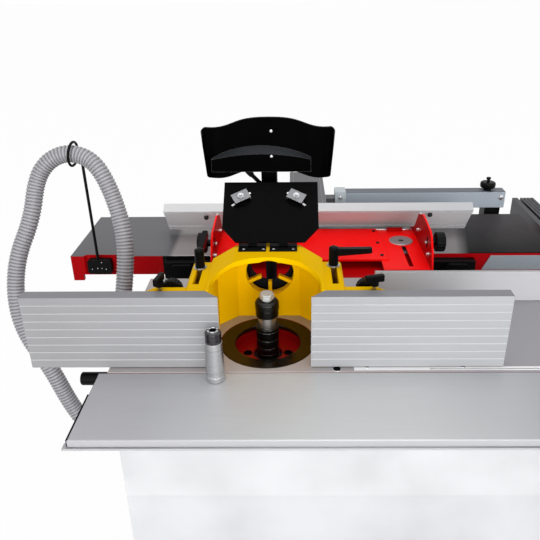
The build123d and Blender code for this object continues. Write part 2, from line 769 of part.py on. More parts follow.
def cabinet_door():
    door = block(CABINET_RIGHT, CABINET_RIGHT + DOOR_T, DOOR_NEAR, DOOR_FAR - SIDE, DOOR_Z0, DOOR_Z1)
    for low in door_barrels():
        barrel = rod_z(DOOR_PIN_X, DOOR_PIN_Y, low, low + DOOR_BARREL, DOOR_BARREL_R)
        leaf = block(CABINET_RIGHT + DOOR_T - WALL, DOOR_PIN_X, DOOR_FAR - DOOR_LAP, DOOR_PIN_Y,
                     low, low + DOOR_BARREL)
        door += barrel + leaf
        door -= rod_z(DOOR_PIN_X, DOOR_PIN_Y, low, low + DOOR_BARREL, DOOR_PIN_R + RUN)
        room = DOOR_BARREL_R + SIDE
        door -= block(CABINET_RIGHT, CABINET_RIGHT + DOOR_T, DOOR_PIN_Y - room, DOOR_PIN_Y,
                      low - DOOR_BARREL - SIDE, low)
    middle = (DOOR_Z0 + DOOR_Z1) / 2
    grip = rod_z(CABINET_RIGHT + DOOR_T + WHEEL_HUB, DOOR_NEAR + DOOR_LAP, middle - WHEEL_GRIP,
                 middle + WHEEL_GRIP, LEVER_STUD_R)
    for z in (middle - WHEEL_GRIP + LEVER_STUD_R, middle + WHEEL_GRIP - LEVER_STUD_R):
        grip += rod_x(CABINET_RIGHT + DOOR_T, CABINET_RIGHT + DOOR_T + WHEEL_HUB,
                      DOOR_NEAR + DOOR_LAP, z, LEVER_STUD_R)
    return door + grip


def saw_housing():
    housing = block(TABLE_LEFT, CABINET_RIGHT, TABLE_NEAR, TABLE_FAR, CABINET_TOP, -TABLE_SKIRT)
    return housing - block(TABLE_LEFT + WALL, CABINET_RIGHT - WALL, TABLE_NEAR + WALL,
                           TABLE_FAR - WALL, CABINET_TOP, -TABLE_SKIRT)


def levelling_feet():
    feet = []
    for x in (TABLE_LEFT + FOOT_INSET, CABINET_RIGHT - FOOT_INSET):
        for y in (TABLE_NEAR + FOOT_INSET, CABINET_FAR - FOOT_INSET):
            foot = rod_z(x, y, -TABLE_HEIGHT, -TABLE_HEIGHT + FOOT_HEIGHT / 2, FOOT_R)
            foot += rod_z(x, y, -TABLE_HEIGHT, CABINET_FOOT, FOOT_R / 2)
            feet.append(foot)
    return group(*feet)


def switch_box():
    box = block(CABINET_RIGHT, CABINET_RIGHT + SWITCH_DEPTH, SWITCH_NEAR, SWITCH_NEAR + SWITCH_WIDTH,
                SWITCH_FOOT, SWITCH_FOOT + SWITCH_HEIGHT)
    box = fillet(box.edges().filter_by(Axis.X), WALL)
    for z in button_heights():
        box -= rod_x(CABINET_RIGHT + SWITCH_DEPTH - BUTTON_STEM - BUTTON_TRAVEL,
                     CABINET_RIGHT + SWITCH_DEPTH, SWITCH_Y, z, BUTTON_R + EASE)
    return box


def button_heights():
    return SWITCH_Z + BUTTON_SPACING / 2, SWITCH_Z - BUTTON_SPACING / 2


def button(z):
    face = CABINET_RIGHT + SWITCH_DEPTH
    cap = rod_x(face - BUTTON_STEM, face + BUTTON_PROUD, SWITCH_Y, z, BUTTON_R)
    return fillet(cap.edges().group_by(Axis.X)[-1], WALL / 2)


def handwheel(x, wall, outward):
    """A wheel on a shaft through the wall at Y = wall; outward is -1 towards the near side."""
    face = wall + outward * SIDE
    end = face + outward * WHEEL_HUB
    middle = (face + end) / 2
    wheel = rod_y(x, min(face, end), max(face, end), WHEEL_Z, WHEEL_HUB_R)
    inner = wall - outward * WHEEL_HUB
    wheel += rod_y(x, min(inner, end), max(inner, end), WHEEL_Z, WHEEL_SHAFT_R)
    wheel += Pos(x, middle, WHEEL_Z) * Rot(90, 0, 0) * Torus(WHEEL_R, WHEEL_RIM_R)
    for turn in (0, 120, 240):
        spoke = Pos((WHEEL_HUB_R + WHEEL_R) / 2, 0, 0) * Box(WHEEL_R - WHEEL_HUB_R + WHEEL_RIM_R,
                                                             WHEEL_RIM_R, WHEEL_SPOKE)
        wheel += Pos(x, middle, WHEEL_Z) * Rot(0, turn, 0) * spoke
    tip = middle + outward * WHEEL_GRIP
    grip = rod_y(x + WHEEL_R, min(middle, tip), max(middle, tip), WHEEL_Z, WHEEL_GRIP_R)
    return wheel + grip


def guide_columns():
    """Columns that hang from the table's underside and guide the quill and the saw."""
    places = []
    for side in (-1, 1):
        places.append((side * QUILL_COLUMN_X, QUILL_COLUMN_Y, QUILL_COLUMN_R))
        places.append((BLADE_X + side * SAW_COLUMN_X, SAW_COLUMN_Y, SAW_COLUMN_R))
    return group(*[rod_z(x, y, COLUMN_FOOT, -TABLE_PLATE, r) for x, y, r in places])


def quill_carriage():
    half = QUILL_COLUMN_X + QUILL_COLUMN_R + COLUMN_WALL
    carriage = rod_z(0, 0, QUILL_FOOT, QUILL_NOSE_FOOT, QUILL_R)
    carriage += rod_z(0, 0, QUILL_NOSE_FOOT, QUILL_TOP, QUILL_NOSE_R)
    carriage += block(-half, half, QUILL_BACK - QUILL_BLOCK_T, QUILL_BACK, QUILL_BLOCK_FOOT,
                      QUILL_NOSE_FOOT)
    carriage += block(-QUILL_NOSE_R, QUILL_NOSE_R, 0, QUILL_BACK, QUILL_BLOCK_FOOT, QUILL_NOSE_FOOT)
    carriage -= rod_z(0, 0, QUILL_FOOT, QUILL_TOP, SHAFT_R + RUN)
    for side in (-1, 1):
        carriage -= rod_z(side * QUILL_COLUMN_X, QUILL_COLUMN_Y, QUILL_BLOCK_FOOT, QUILL_NOSE_FOOT,
                          QUILL_COLUMN_R + RUN)
    return carriage


def belt_face(spindle_r, motor_r):
    """The area inside a belt that runs round the two pulleys."""
    lean = asin((motor_r - spindle_r) / MOTOR_Y)
    ends = [(side * r * cos(lean), y - r * sin(lean)) for r, y, side in
            ((spindle_r, 0, -1), (motor_r, MOTOR_Y, -1), (motor_r, MOTOR_Y, 1), (spindle_r, 0, 1))]
    run = make_face(Polyline(*ends, close=True))
    return Circle(spindle_r) + Pos(0, MOTOR_Y) * Circle(motor_r) + run


def spindle_drive():
    motor = rod_z(0, MOTOR_Y, PULLEY_TOP, MOTOR_TOP, MOTOR_R)
    motor += block(-MOTOR_PAD / 2, MOTOR_PAD / 2, QUILL_BACK, MOTOR_Y, QUILL_BLOCK_FOOT,
                   MOTOR_PAD_TOP)
    motor += rod_z(0, MOTOR_Y, PULLEY_TOP - PULLEY_T, PULLEY_TOP, MOTOR_PULLEY_R)
    spindle_r = SPINDLE_PULLEY_R + EASE
    motor_r = MOTOR_PULLEY_R + EASE
    loop = belt_face(spindle_r + BELT_T, motor_r + BELT_T) - belt_face(spindle_r, motor_r)
    foot = PULLEY_TOP - (PULLEY_T + BELT_W) / 2
    belt = extrude(Pos(0, 0, foot) * loop, BELT_W, dir=(0, 0, 1))
    return group(motor, belt)


def spindle_shaft():
    shaft = rod_z(0, 0, PULLEY_TOP - PULLEY_T, SPACER_TOP, SHAFT_R)
    shaft += rod_z(0, 0, QUILL_TOP, SPACER_FOOT, SHOULDER_R)
    return shaft + rod_z(0, 0, PULLEY_TOP - PULLEY_T, PULLEY_TOP, SPINDLE_PULLEY_R)


def spacer_rings():
    rings = []
    foot = SPACER_FOOT
    for place, height in enumerate(SPACER_HEIGHTS):
        ring = rod_z(0, 0, foot, foot + height, WAIST_R if place == WAIST_RING else SPACER_R)
        ring = chamfer(ring.edges().filter_by(GeomType.CIRCLE), EASE * 2)
        rings.append(ring - rod_z(0, 0, foot, foot + height, SHAFT_R + RUN))
        foot += height
    return group(*rings)


def spindle_bolt():
    collar = rod_z(0, 0, SPACER_TOP, SPACER_TOP + COLLAR_T, COLLAR_R)
    collar = fillet(collar.edges().group_by(Axis.Z)[-1], COLLAR_ROUND)
    foot = SPACER_TOP + COLLAR_T
    bolt = rod_z(0, 0, foot, foot + BOLT_FLANGE_T, BOLT_FLANGE_R)
    seat = foot + BOLT_FLANGE_T
    hexagon = RegularPolygon(BOLT_FLATS / 2, 6, major_radius=False)
    head = extrude(Pos(0, 0, seat) * hexagon, BOLT_HEAD, dir=(0, 0, 1))
    cone = rod_z(0, 0, seat, seat + BOLT_HEAD, BOLT_FLATS / sqrt(3))
    head &= chamfer(cone.edges().group_by(Axis.Z)[-1], BOLT_CHAMFER)
    return group(collar, bolt + head)


def saw_blade():
    """Blade with a toothed rim, its two flanges and the arbor."""
    points = []
    for k in range(BLADE_TEETH):
        for turn, share in TOOTH_LINE:
            angle = (k + turn) * 2 * pi / BLADE_TEETH
            r = BLADE_R * share
            points.append((BLADE_X + r * cos(angle), ARBOR_Z + r * sin(angle)))
    blade = prism_y(points, BLADE_Y - BLADE_T / 2, BLADE_Y + BLADE_T / 2)
    blade -= rod_y(BLADE_X, BLADE_Y - BLADE_T, BLADE_Y + BLADE_T, ARBOR_Z, ARBOR_R + RUN)
    near = BLADE_Y - BLADE_T / 2
    far = BLADE_Y + BLADE_T / 2
    arbor = rod_y(BLADE_X, near - FLANGE_T, far + ARBOR_LENGTH, ARBOR_Z, ARBOR_R)
    arbor += rod_y(BLADE_X, far, far + FLANGE_T, ARBOR_Z, FLANGE_R)
    nut = rod_y(BLADE_X, near - FLANGE_T, near, ARBOR_Z, FLANGE_R)
    nut -= rod_y(BLADE_X, near - FLANGE_T, near, ARBOR_Z, ARBOR_R + RUN)
    return group(blade, arbor, nut)


def saw_carriage():
    start = BLADE_Y + BLADE_T / 2 + FLANGE_T + SIDE
    end = BLADE_Y + BLADE_T / 2 + ARBOR_LENGTH - SIDE
    half = SAW_COLUMN_X + SAW_COLUMN_R + COLUMN_WALL
    top = ARBOR_Z + SAW_BLOCK_UP
    foot = ARBOR_Z - SAW_BLOCK_DOWN
    near = SAW_COLUMN_Y - SAW_BLOCK_T / 2
    far = SAW_COLUMN_Y + SAW_BLOCK_T / 2
    carriage = rod_y(BLADE_X, start, end, ARBOR_Z, ARBOR_SLEEVE_R)
    carriage += block(BLADE_X - half, BLADE_X + half, near, far, foot, top)
    carriage -= rod_y(BLADE_X, start, end, ARBOR_Z, ARBOR_R + RUN)
    for side in (-1, 1):
        carriage -= rod_z(BLADE_X + side * SAW_COLUMN_X, SAW_COLUMN_Y, foot, top, SAW_COLUMN_R + RUN)
    axis = foot - SAW_MOTOR_R - SIDE
    motor = rod_y(BLADE_X, SAW_COLUMN_Y - SAW_MOTOR_LENGTH / 2, SAW_COLUMN_Y + SAW_MOTOR_LENGTH / 2,
                  axis, SAW_MOTOR_R)
    motor += block(BLADE_X - SAW_MOTOR_PAD / 2, BLADE_X + SAW_MOTOR_PAD / 2, near, far, axis, foot)
    return group(carriage, motor)


def sliding_table():
    table = block(SLIDE_LEFT, SLIDE_LEFT + SLIDE_LENGTH, SLIDE_NEAR, SLIDE_FAR, SLIDE_Z, 0)
    table = chamfer(lip_edges(table, 0), SLIDE_EDGE)
    table -= block(SLIDE_LEFT, SLIDE_LEFT + SLIDE_LENGTH, SLIDE_NEAR, SLIDE_NEAR + SLIDE_GROOVE,
                   SLIDE_Z, SLIDE_Z + SLIDE_GROOVE)
    lip = SLIDE_NEAR - SLIDE_LIP
    table += block(SLIDE_LEFT - SLIDE_LIP_END, SLIDE_LEFT + SLIDE_LENGTH, lip, lip + SLIDE_LIP_W,
                   SLIDE_Z - SLIDE_LIP_T, SLIDE_Z)
    beam = block(SLIDE_LEFT, SLIDE_LEFT + SLIDE_LENGTH, BEAM_NEAR, BEAM_FAR, SLIDE_Z - BEAM_DEPTH,
                 SLIDE_Z)
    beam -= block(SLIDE_LEFT, SLIDE_LEFT + SLIDE_LENGTH, BEAM_NEAR + BEAM_WALL, BEAM_FAR - BEAM_WALL,
                  SLIDE_Z - BEAM_DEPTH, SLIDE_Z)
    return table + beam


def slide_rail():
    near = BEAM_NEAR + BEAM_WALL + SIDE
    far = BEAM_FAR - BEAM_WALL - SIDE
    rail = block(SLIDE_LEFT + RAIL_INSET, SLIDE_LEFT + SLIDE_LENGTH - RAIL_INSET, near, far,
                 SLIDE_Z - RAIL_DEPTH, SLIDE_Z)
    top = SLIDE_Z - BEAM_DEPTH - SIDE
    for x in ARM_PLACES:
        rail += block(x - ARM_WIDTH / 2, x + ARM_WIDTH / 2, near, TABLE_NEAR, top - ARM_T, top)
    return rail


def lock_handle():
    grip = rod_x(TABLE_LEFT - LOCK_NECK - LOCK_LENGTH, TABLE_LEFT - LOCK_NECK, LOCK_Y, LOCK_Z, LOCK_R)
    grip = fillet(grip.edges().filter_by(GeomType.CIRCLE), LOCK_R / 4)
    return grip + rod_x(TABLE_LEFT - LOCK_NECK - LOCK_R, TABLE_LEFT, LOCK_Y, LOCK_Z, LOCK_NECK_R)


def collet_chuck():
    body = rod_z(CHUCK_X, CHUCK_Y, 0, CHUCK_FOOT_T, CHUCK_FOOT_R)
    body += (Pos(CHUCK_X, CHUCK_Y, CHUCK_FOOT_T + CHUCK_BODY / 2)
             * Cone(CHUCK_R, CHUCK_NECK_R, CHUCK_BODY))
    body = chamfer(body.edges().group_by(Axis.Z)[0], SLIDE_EDGE)
    foot = CHUCK_FOOT_T + CHUCK_BODY
    nut = rod_z(CHUCK_X, CHUCK_Y, foot, foot + CHUCK_NUT, CHUCK_NUT_R)
    nut = chamfer(nut.edges().group_by(Axis.Z)[-1], CHUCK_SLOT)
    nut -= rod_z(CHUCK_X, CHUCK_Y, foot, foot + CHUCK_NUT, CHUCK_BORE_R)
    for k in range(CHUCK_SLOTS):
        slot = Pos(CHUCK_NUT_R, 0, 0) * Box(CHUCK_SLOT, CHUCK_SLOT, CHUCK_NUT)
        place = Pos(CHUCK_X, CHUCK_Y, foot + CHUCK_NUT * CHUCK_SLOT_AT)
        nut -= place * Rot(0, 0, k * 360 / CHUCK_SLOTS) * slot
    return group(body, nut)


def fence_plate(side):
    """Ribbed plate of the moulder's fence; side is -1 on the left and 1 on the right."""
    top = FENCE_FOOT + FENCE_HEIGHT
    pitch = FENCE_HEIGHT / FENCE_RIBS
    outline = [(FENCE_BACK, FENCE_FOOT), (FENCE_FACE, FENCE_FOOT)]
    for k in range(1, FENCE_RIBS):
        z = FENCE_FOOT + k * pitch
        outline += [(FENCE_FACE, z - FENCE_GROOVE_W / 2), (FENCE_FACE + FENCE_GROOVE, z),
                    (FENCE_FACE, z + FENCE_GROOVE_W / 2)]
    outline += [(FENCE_FACE, top), (FENCE_BACK, top)]
    mouth = side * FENCE_MOUTH
    end = side * (FENCE_MOUTH + FENCE_LENGTH[side])
    plate = prism_x(outline, min(mouth, end), max(mouth, end))
    mitre = [(mouth, FENCE_FACE), (mouth + side * FENCE_T, FENCE_BACK), (mouth, FENCE_BACK)]
    return plate - prism_z(mitre, FENCE_FOOT, top)


def hood_plan(grow):
    """Outline of the hood's chamber, its back corners cut at 45 degrees, grown by a wall's thickness."""
    half = HOOD_HALF + grow
    crease = HOOD_CREASE + grow * tan(radians(22.5))
    back = HOOD_BACK + grow
    corner = back - (half - crease)
    return [(-half, FENCE_BACK), (half, FENCE_BACK), (half, corner), (crease, back), (-crease, back),
            (-half, corner)]


def roof_line(level):
    """The roof's section from left to right: flat in the middle and falling to both sides."""
    return [(-ROOF_HALF, level - ROOF_DROP), (-ROOF_FLAT, level), (ROOF_FLAT, level),
            (ROOF_HALF, level - ROOF_DROP)]


def spindle_hood():
    under_roof = prism_y([(ROOF_HALF, 0), (-ROOF_HALF, 0), *roof_line(HOOD_HEIGHT)], FENCE_BACK, ROOF_FAR)
    chamber = prism_z(hood_plan(0), 0, ROOF_TOP)
    wall = prism_z(hood_plan(HOOD_WALL), 0, ROOF_TOP) & under_roof
    ear = block(HOOD_HALF, EAR_OUT, EAR_NEAR, EAR_FAR, 0, EAR_TOP)
    ear -= block(ROOF_HALF, EAR_OUT - EAR_WALL, EAR_NEAR + EAR_WALL, EAR_FAR - EAR_WALL, 0,
                 EAR_TOP - EAR_ROOF)
    ear = chamfer(ear.edges().filter_by(Axis.Y).sort_by(lambda e: -e.center().X - e.center().Z)[0],
                  EAR_WALL / 2)
    hood = wall + both_sides(ear) - chamber
    roof = prism_y([*roof_line(ROOF_TOP), *reversed(roof_line(HOOD_HEIGHT))], FENCE_BACK, ROOF_FAR)
    roof &= prism_z([(-ROOF_HALF, FENCE_BACK), (ROOF_HALF, FENCE_BACK), (ROOF_HALF, ROOF_SHOULDER),
                     (ROOF_FLAT, ROOF_FAR), (-ROOF_FLAT, ROOF_FAR), (-ROOF_HALF, ROOF_SHOULDER)], 0, ROOF_TOP)
    roof -= rod_z(0, ROOF_CUT_Y, 0, ROOF_TOP, ROOF_CUT_R)
    roof -= block(-ROOF_CUT_R, ROOF_CUT_R, FENCE_BACK, ROOF_CUT_Y, 0, ROOF_TOP)
    hood += roof
    slot_middle = (EAR_SLOT_NEAR + EAR_SLOT_FAR) / 2
    slot_reach = (EAR_SLOT_FAR - EAR_SLOT_NEAR) / 2
    slot = block(LEVER_X - EAR_SLOT_W / 2, LEVER_X + EAR_SLOT_W / 2, slot_middle - slot_reach,
                 slot_middle + slot_reach, EAR_TOP - EAR_ROOF, EAR_TOP)
    wing = prism_z([(EAR_OUT - EAR_WALL, FENCE_BACK), (WING_OUT, FENCE_BACK),
                    (WING_OUT - WING_CUT, FENCE_BACK + WING_T), (EAR_OUT - EAR_WALL, FENCE_BACK + WING_T)],
                   WING_FOOT, WING_TOP)
    hood = hood - both_sides(slot) + both_sides(wing)
    hood += rod_y(OUTLET_X, HOOD_BACK, OUTLET_END, OUTLET_Z, OUTLET_R + OUTLET_WALL)
    hood -= rod_y(OUTLET_X, 0, OUTLET_END, OUTLET_Z, OUTLET_R)
    for angle in SPOKE_ANGLES:
        bar = Pos(OUTLET_R - SPOKE / 2 + OUTLET_WALL / 2, 0, 0) * Box(SPOKE, SPOKE_W, SPOKE_T)
        hood += Pos(OUTLET_X, SPOKE_Y + SPOKE_W / 2, OUTLET_Z) * Rot(0, -angle, 0) * bar
    return hood


def clamp_lever(hand, side):
    """Lever on a stud that passes through the ear's slot to the table."""
    x, y = side * LEVER_X, LEVER_Y[hand]
    lever = rod_z(x, y, 0, EAR_TOP, LEVER_STUD_R)
    lever += rod_z(x, y, EAR_TOP, EAR_TOP + LEVER_WASHER, LEVER_WASHER_R)
    foot = EAR_TOP + LEVER_WASHER
    hub = rod_z(x, y, foot, foot + LEVER_HUB, LEVER_HUB_R)
    lever += fillet(hub.edges().group_by(Axis.Z)[-1], LEVER_HUB_R / 3)
    arm = prism_y([(0, -LEVER_ROOT_T), (LEVER_ARM, -LEVER_TIP_T), (LEVER_ARM, 0), (0, 0)],
                  -LEVER_ARM_W / 2, LEVER_ARM_W / 2)
    arm += rod_z(LEVER_ARM, 0, -LEVER_TIP_T, 0, LEVER_ARM_W / 2)
    place = Pos(x, y, foot + LEVER_HUB - LEVER_HUB_R / 3) * Rot(0, 0, LEVER_TURNS[hand])
    place *= Rot(0, -LEVER_RISE, 0)
    return lever + place * arm


def t_knob(hand):
    x = KNOB_X[hand]
    knob = rod_z(x, KNOB_Y, WING_TOP, WING_TOP + KNOB_STUD, KNOB_STUD_R)
    foot = WING_TOP + KNOB_STUD
    knob += rod_z(x, KNOB_Y, foot, foot + KNOB_HUB, KNOB_HUB_R)
    bar = Box(KNOB_BAR, KNOB_BAR_W, KNOB_BAR_T)
    bar = fillet(bar.edges(), KNOB_BAR_W / 5)
    return knob + Pos(x, KNOB_Y, foot + KNOB_HUB + KNOB_BAR_T / 2 - SIDE) * Rot(0, 0, KNOB_TURNS[hand]) * bar


def ribbed_wheel(radius, thickness, ribs):
    """A knob with a ribbed rim, its axis along Z."""
    wheel = Cylinder(radius, thickness)
    wheel = fillet(wheel.edges().filter_by(GeomType.CIRCLE), thickness / 6)
    groove = pi * radius / ribs / 2
    for k in range(ribs):
        cut = Pos(radius + groove / 3, 0, 0) * Cylinder(groove, thickness)
        wheel -= Rot(0, 0, k * 360 / ribs) * cut
    return wheel


def adjust_wheel(hand):
    x = ADJUST_X[hand]
    back = FENCE_BACK + WING_T
    neck = rod_y(x, back, back + ADJUST_NECK, ADJUST_Z, ADJUST_NECK_R)
    place = Pos(x, back + ADJUST_NECK + ADJUST_T / 2, ADJUST_Z) * Rot(90, 0, 0)
    return neck + place * ribbed_wheel(ADJUST_R, ADJUST_T, ADJUST_RIBS)


def hinge_spans():
    """Left and right ends of the two hinges."""
    return [(HINGE_MIDDLE + s * HINGE_SPACING / 2 - HINGE_LENGTH / 2,
             HINGE_MIDDLE + s * HINGE_SPACING / 2 + HINGE_LENGTH / 2) for s in (-1, 1)]


def flap_hinges():
    leaves = []
    third = HINGE_LENGTH / 3
    for left, right in hinge_spans():
        leaf = block(left, right, FLAP_Y - HINGE_BARREL_R - HINGE_LEAF, FLAP_Y - HINGE_BARREL_R - SIDE,
                     ROOF_TOP, ROOF_TOP + HINGE_LEAF_T)
        leaf += rod_x(left, right, FLAP_Y, FLAP_Z, HINGE_PIN_R)
        for start in (left, right - third):
            leaf += rod_x(start, start + third, FLAP_Y, FLAP_Z, HINGE_BARREL_R)
            leaf += block(start, start + third, FLAP_Y - HINGE_BARREL_R - SIDE, FLAP_Y, ROOF_TOP,
                          ROOF_TOP + HINGE_LEAF_T)
        leaves.append(leaf)
    return group(*leaves)


def flap_place():
    """The flap's own frame: X along the hinge, Y up the flap, Z out of its visible face."""
    return Pos(FLAP_SHIFT, FLAP_Y, FLAP_Z) * Rot(FLAP_OPEN, 0, 0)


def hood_flap():
    half = FLAP_WIDTH / 2
    foot = FLAP_FOOT_WIDTH / 2
    plate = prism_z([(-foot, FLAP_START), (foot, FLAP_START), (half, FLAP_START + FLAP_CORNER),
                     (half, FLAP_LENGTH), (-half, FLAP_LENGTH), (-half, FLAP_START + FLAP_CORNER)],
                    -FLAP_T / 2, FLAP_T / 2)
    third = HINGE_LENGTH / 3
    for left, right in hinge_spans():
        start = left + third + EASE - FLAP_SHIFT
        end = right - third - EASE - FLAP_SHIFT
        plate += rod_x(start, end, 0, 0, HINGE_BARREL_R)
        plate += block(start, end, 0, FLAP_START, -FLAP_T / 2, FLAP_T / 2)
        plate -= rod_x(start, end, 0, 0, HINGE_PIN_R + RUN)
    clamps = []
    for side in (-1, 1):
        place = Pos(side * CLAMP_SPACING / 2 - FLAP_SHIFT, CLAMP_REACH, 0)
        plate -= place * Rot(0, 0, -side * FLAP_SLOT_TURN) * Box(FLAP_SLOT, FLAP_SLOT_W, FLAP_T)
        clamps.append(place * Rot(0, 0, -side * CLAMP_TURN) * clamp_bracket(side))
    return group(*[flap_place() * shape for shape in (plate, *clamps)])


def clamp_bracket(side):
    """A plate with a tab bent to the flap's visible face, and its bolt on a washer over the slot."""
    half = CLAMP_LENGTH / 2
    low = FLAP_T / 2
    top = low + CLAMP_HEIGHT
    tab = -side * (half - CLAMP_T / 2)
    strap = block(-half, half, -CLAMP_WIDTH / 2, CLAMP_WIDTH / 2, top - CLAMP_T, top)
    strap += block(tab - CLAMP_T / 2, tab + CLAMP_T / 2, -CLAMP_WIDTH / 2, CLAMP_WIDTH / 2, low, top)
    strap += rod_z(0, 0, low, top + CLAMP_BOLT_PROUD, CLAMP_BOLT_R)
    strap += rod_z(0, 0, low, low + CLAMP_T, CLAMP_WASHER_R)
    return strap + extrude(Pos(0, 0, top) * RegularPolygon(CLAMP_BOLT_R * 2, 6), CLAMP_T, dir=(0, 0, 1))


def shield_post():
    post = rod_z(0, POST_Y, 0, POST_TOP, POST_R)
    return post + rod_z(0, POST_Y, STOP_FOOT, STOP_TOP, STOP_R)


def shield_outline():
    """Front outline of the shield: a crowned top, an arched foot and rounded corners."""
    half = SHIELD_FLAT + SHIELD_BEND_R * sin(radians(SHIELD_BEND))
    heel = half - SHIELD_LEAN
    top = Spline((-half, SHIELD_SIDE), (-SHIELD_FLAT, SHIELD_DIP), (-SHIELD_CREST, SHIELD_BROW),
                 (0, SHIELD_CROWN), (SHIELD_CREST, SHIELD_BROW), (SHIELD_FLAT, SHIELD_DIP),
                 (half, SHIELD_SIDE))
    foot = Spline((heel, SHIELD_HEEL), (SHIELD_FLAT, SHIELD_FOOT), (SHIELD_CREST, SHIELD_ARCH),
                  (-SHIELD_CREST, SHIELD_ARCH), (-SHIELD_FLAT, SHIELD_FOOT), (-heel, SHIELD_HEEL))
    sides = [Line((half, SHIELD_SIDE), (heel, SHIELD_HEEL)),
             Line((-heel, SHIELD_HEEL), (-half, SHIELD_SIDE))]
    outline = make_face([top, foot, *sides])
    return fillet(outline.vertices(), SHIELD_ROUND)


def shield_wing():
    """Plan of the right-hand half of the shield: flat, then bent forward."""
    middle = (SHIELD_FLAT, SHIELD_Y - SHIELD_BEND_R)
    bend = make_face([
        CenterArc(middle, SHIELD_BEND_R, 90 - SHIELD_BEND, SHIELD_BEND),
        CenterArc(middle, SHIELD_BEND_R - SHIELD_T, 90 - SHIELD_BEND, SHIELD_BEND),
        Line((SHIELD_FLAT, SHIELD_Y), (SHIELD_FLAT, SHIELD_Y - SHIELD_T)),
        Line(*[(middle[0] + r * sin(radians(SHIELD_BEND)), middle[1] + r * cos(radians(SHIELD_BEND)))
               for r in (SHIELD_BEND_R - SHIELD_T, SHIELD_BEND_R)]),
    ])
    return extrude(Pos(0, 0, SHIELD_FOOT - SHIELD_T) * bend, SHIELD_CROWN - SHIELD_FOOT + 2 * SHIELD_T,
                   dir=(0, 0, 1))


def visor_face(y, crown):
    """The visor's section at one depth: level below and arched on top."""
    brow = VISOR_FOOT + VISOR_FACE
    middle = (VISOR_LEFT + VISOR_RIGHT) / 2
    section = make_face([
        ThreePointArc((VISOR_LEFT, brow), (middle, crown), (VISOR_RIGHT, brow)),
        Polyline((VISOR_RIGHT, brow), (VISOR_RIGHT, VISOR_FOOT), (VISOR_LEFT, VISOR_FOOT),
                 (VISOR_LEFT, brow)),
    ])
    return (Plane.XZ.offset(-y) * section).face()


def guard_shield():
    sheet = block(-SHIELD_FLAT, SHIELD_FLAT, SHIELD_Y - SHIELD_T, SHIELD_Y, SHIELD_FOOT - SHIELD_T,
                  SHIELD_CROWN + SHIELD_T)
    sheet += both_sides(shield_wing())
    depth = SHIELD_BEND_R + SHIELD_T
    outline = Plane.XZ.offset(-SHIELD_Y - SHIELD_T) * shield_outline()
    sheet &= extrude(outline, depth, dir=(0, -1, 0))
    sleeve = block(-SLEEVE_HALF, SLEEVE_HALF, SHIELD_Y, POST_Y + SLEEVE_HALF, STOP_TOP,
                   STOP_TOP + SLEEVE_HEIGHT)
    sleeve -= rod_z(0, POST_Y, STOP_TOP, STOP_TOP + SLEEVE_HEIGHT, POST_R + RUN)
    crown = VISOR_FOOT + VISOR_FACE + VISOR_CROWN
    visor = loft([visor_face(VISOR_NEAR, crown), visor_face(SHIELD_Y - SHIELD_T, crown + VISOR_BACK)])
    return sheet + sleeve + visor


def rip_rail():
    groove = RIP_RAIL_X + RIP_RAIL_NARROW
    rail = block(RIP_RAIL_X, RIP_RAIL_RIGHT, TABLE_NEAR, RIP_RAIL_FAR, -RIP_RAIL_DEPTH, 0)
    rail -= block(groove, groove + RIP_RAIL_GROOVE, TABLE_NEAR, RIP_RAIL_FAR, -RIP_RAIL_SLOT, 0)
    first = groove + RIP_RAIL_GROOVE + RIP_RAIL_RIB * 2
    while first + RIP_RAIL_RIB < RIP_RAIL_RIGHT - RIP_RAIL_RIB:
        rail -= block(first, first + RIP_RAIL_RIB, TABLE_NEAR, RIP_RAIL_FAR, -RIP_RAIL_RIB / 2, 0)
        first += RIP_RAIL_RIB * 3
    return rail


def rip_fence():
    """The fence's face with its sole, and the carriage that rides on the rail."""
    fence = block(RIP_LEFT, RIP_RAIL_X, RIP_Y, RIP_Y + RIP_T, RIP_FOOT, RIP_FOOT + RIP_HEIGHT)
    fence = chamfer(lip_edges(fence, RIP_FOOT + RIP_HEIGHT), SLIDE_EDGE)
    fence += block(RIP_LEFT, RIP_RAIL_X, RIP_Y + RIP_T, RIP_Y + RIP_SOLE, RIP_FOOT,
                   RIP_FOOT + RIP_SOLE_T)
    middle = RIP_Y + RIP_SOLE / 2
    carriage = block(RIP_RAIL_X, RIP_RAIL_RIGHT, middle - RIP_CARRIAGE_W / 2,
                     middle + RIP_CARRIAGE_W / 2, 0, RIP_CARRIAGE_T)
    carriage = fillet(carriage.edges().filter_by(Axis.Z), RIP_CARRIAGE_T / 4)
    return group(fence, carriage)


def rip_lever():
    x = (RIP_RAIL_X + RIP_RAIL_RIGHT) / 2
    y = RIP_Y + RIP_SOLE / 2
    lever = rod_z(x, y, RIP_CARRIAGE_T, RIP_CARRIAGE_T + RIP_LEVER_R * 3, RIP_LEVER_R)
    arm = rod_y(x, y - RIP_LEVER, y, RIP_CARRIAGE_T + RIP_LEVER_R * 2, RIP_ARM_R)
    return lever + arm + Pos(x, y - RIP_LEVER, RIP_CARRIAGE_T + RIP_LEVER_R * 2) * Sphere(RIP_BALL_R)


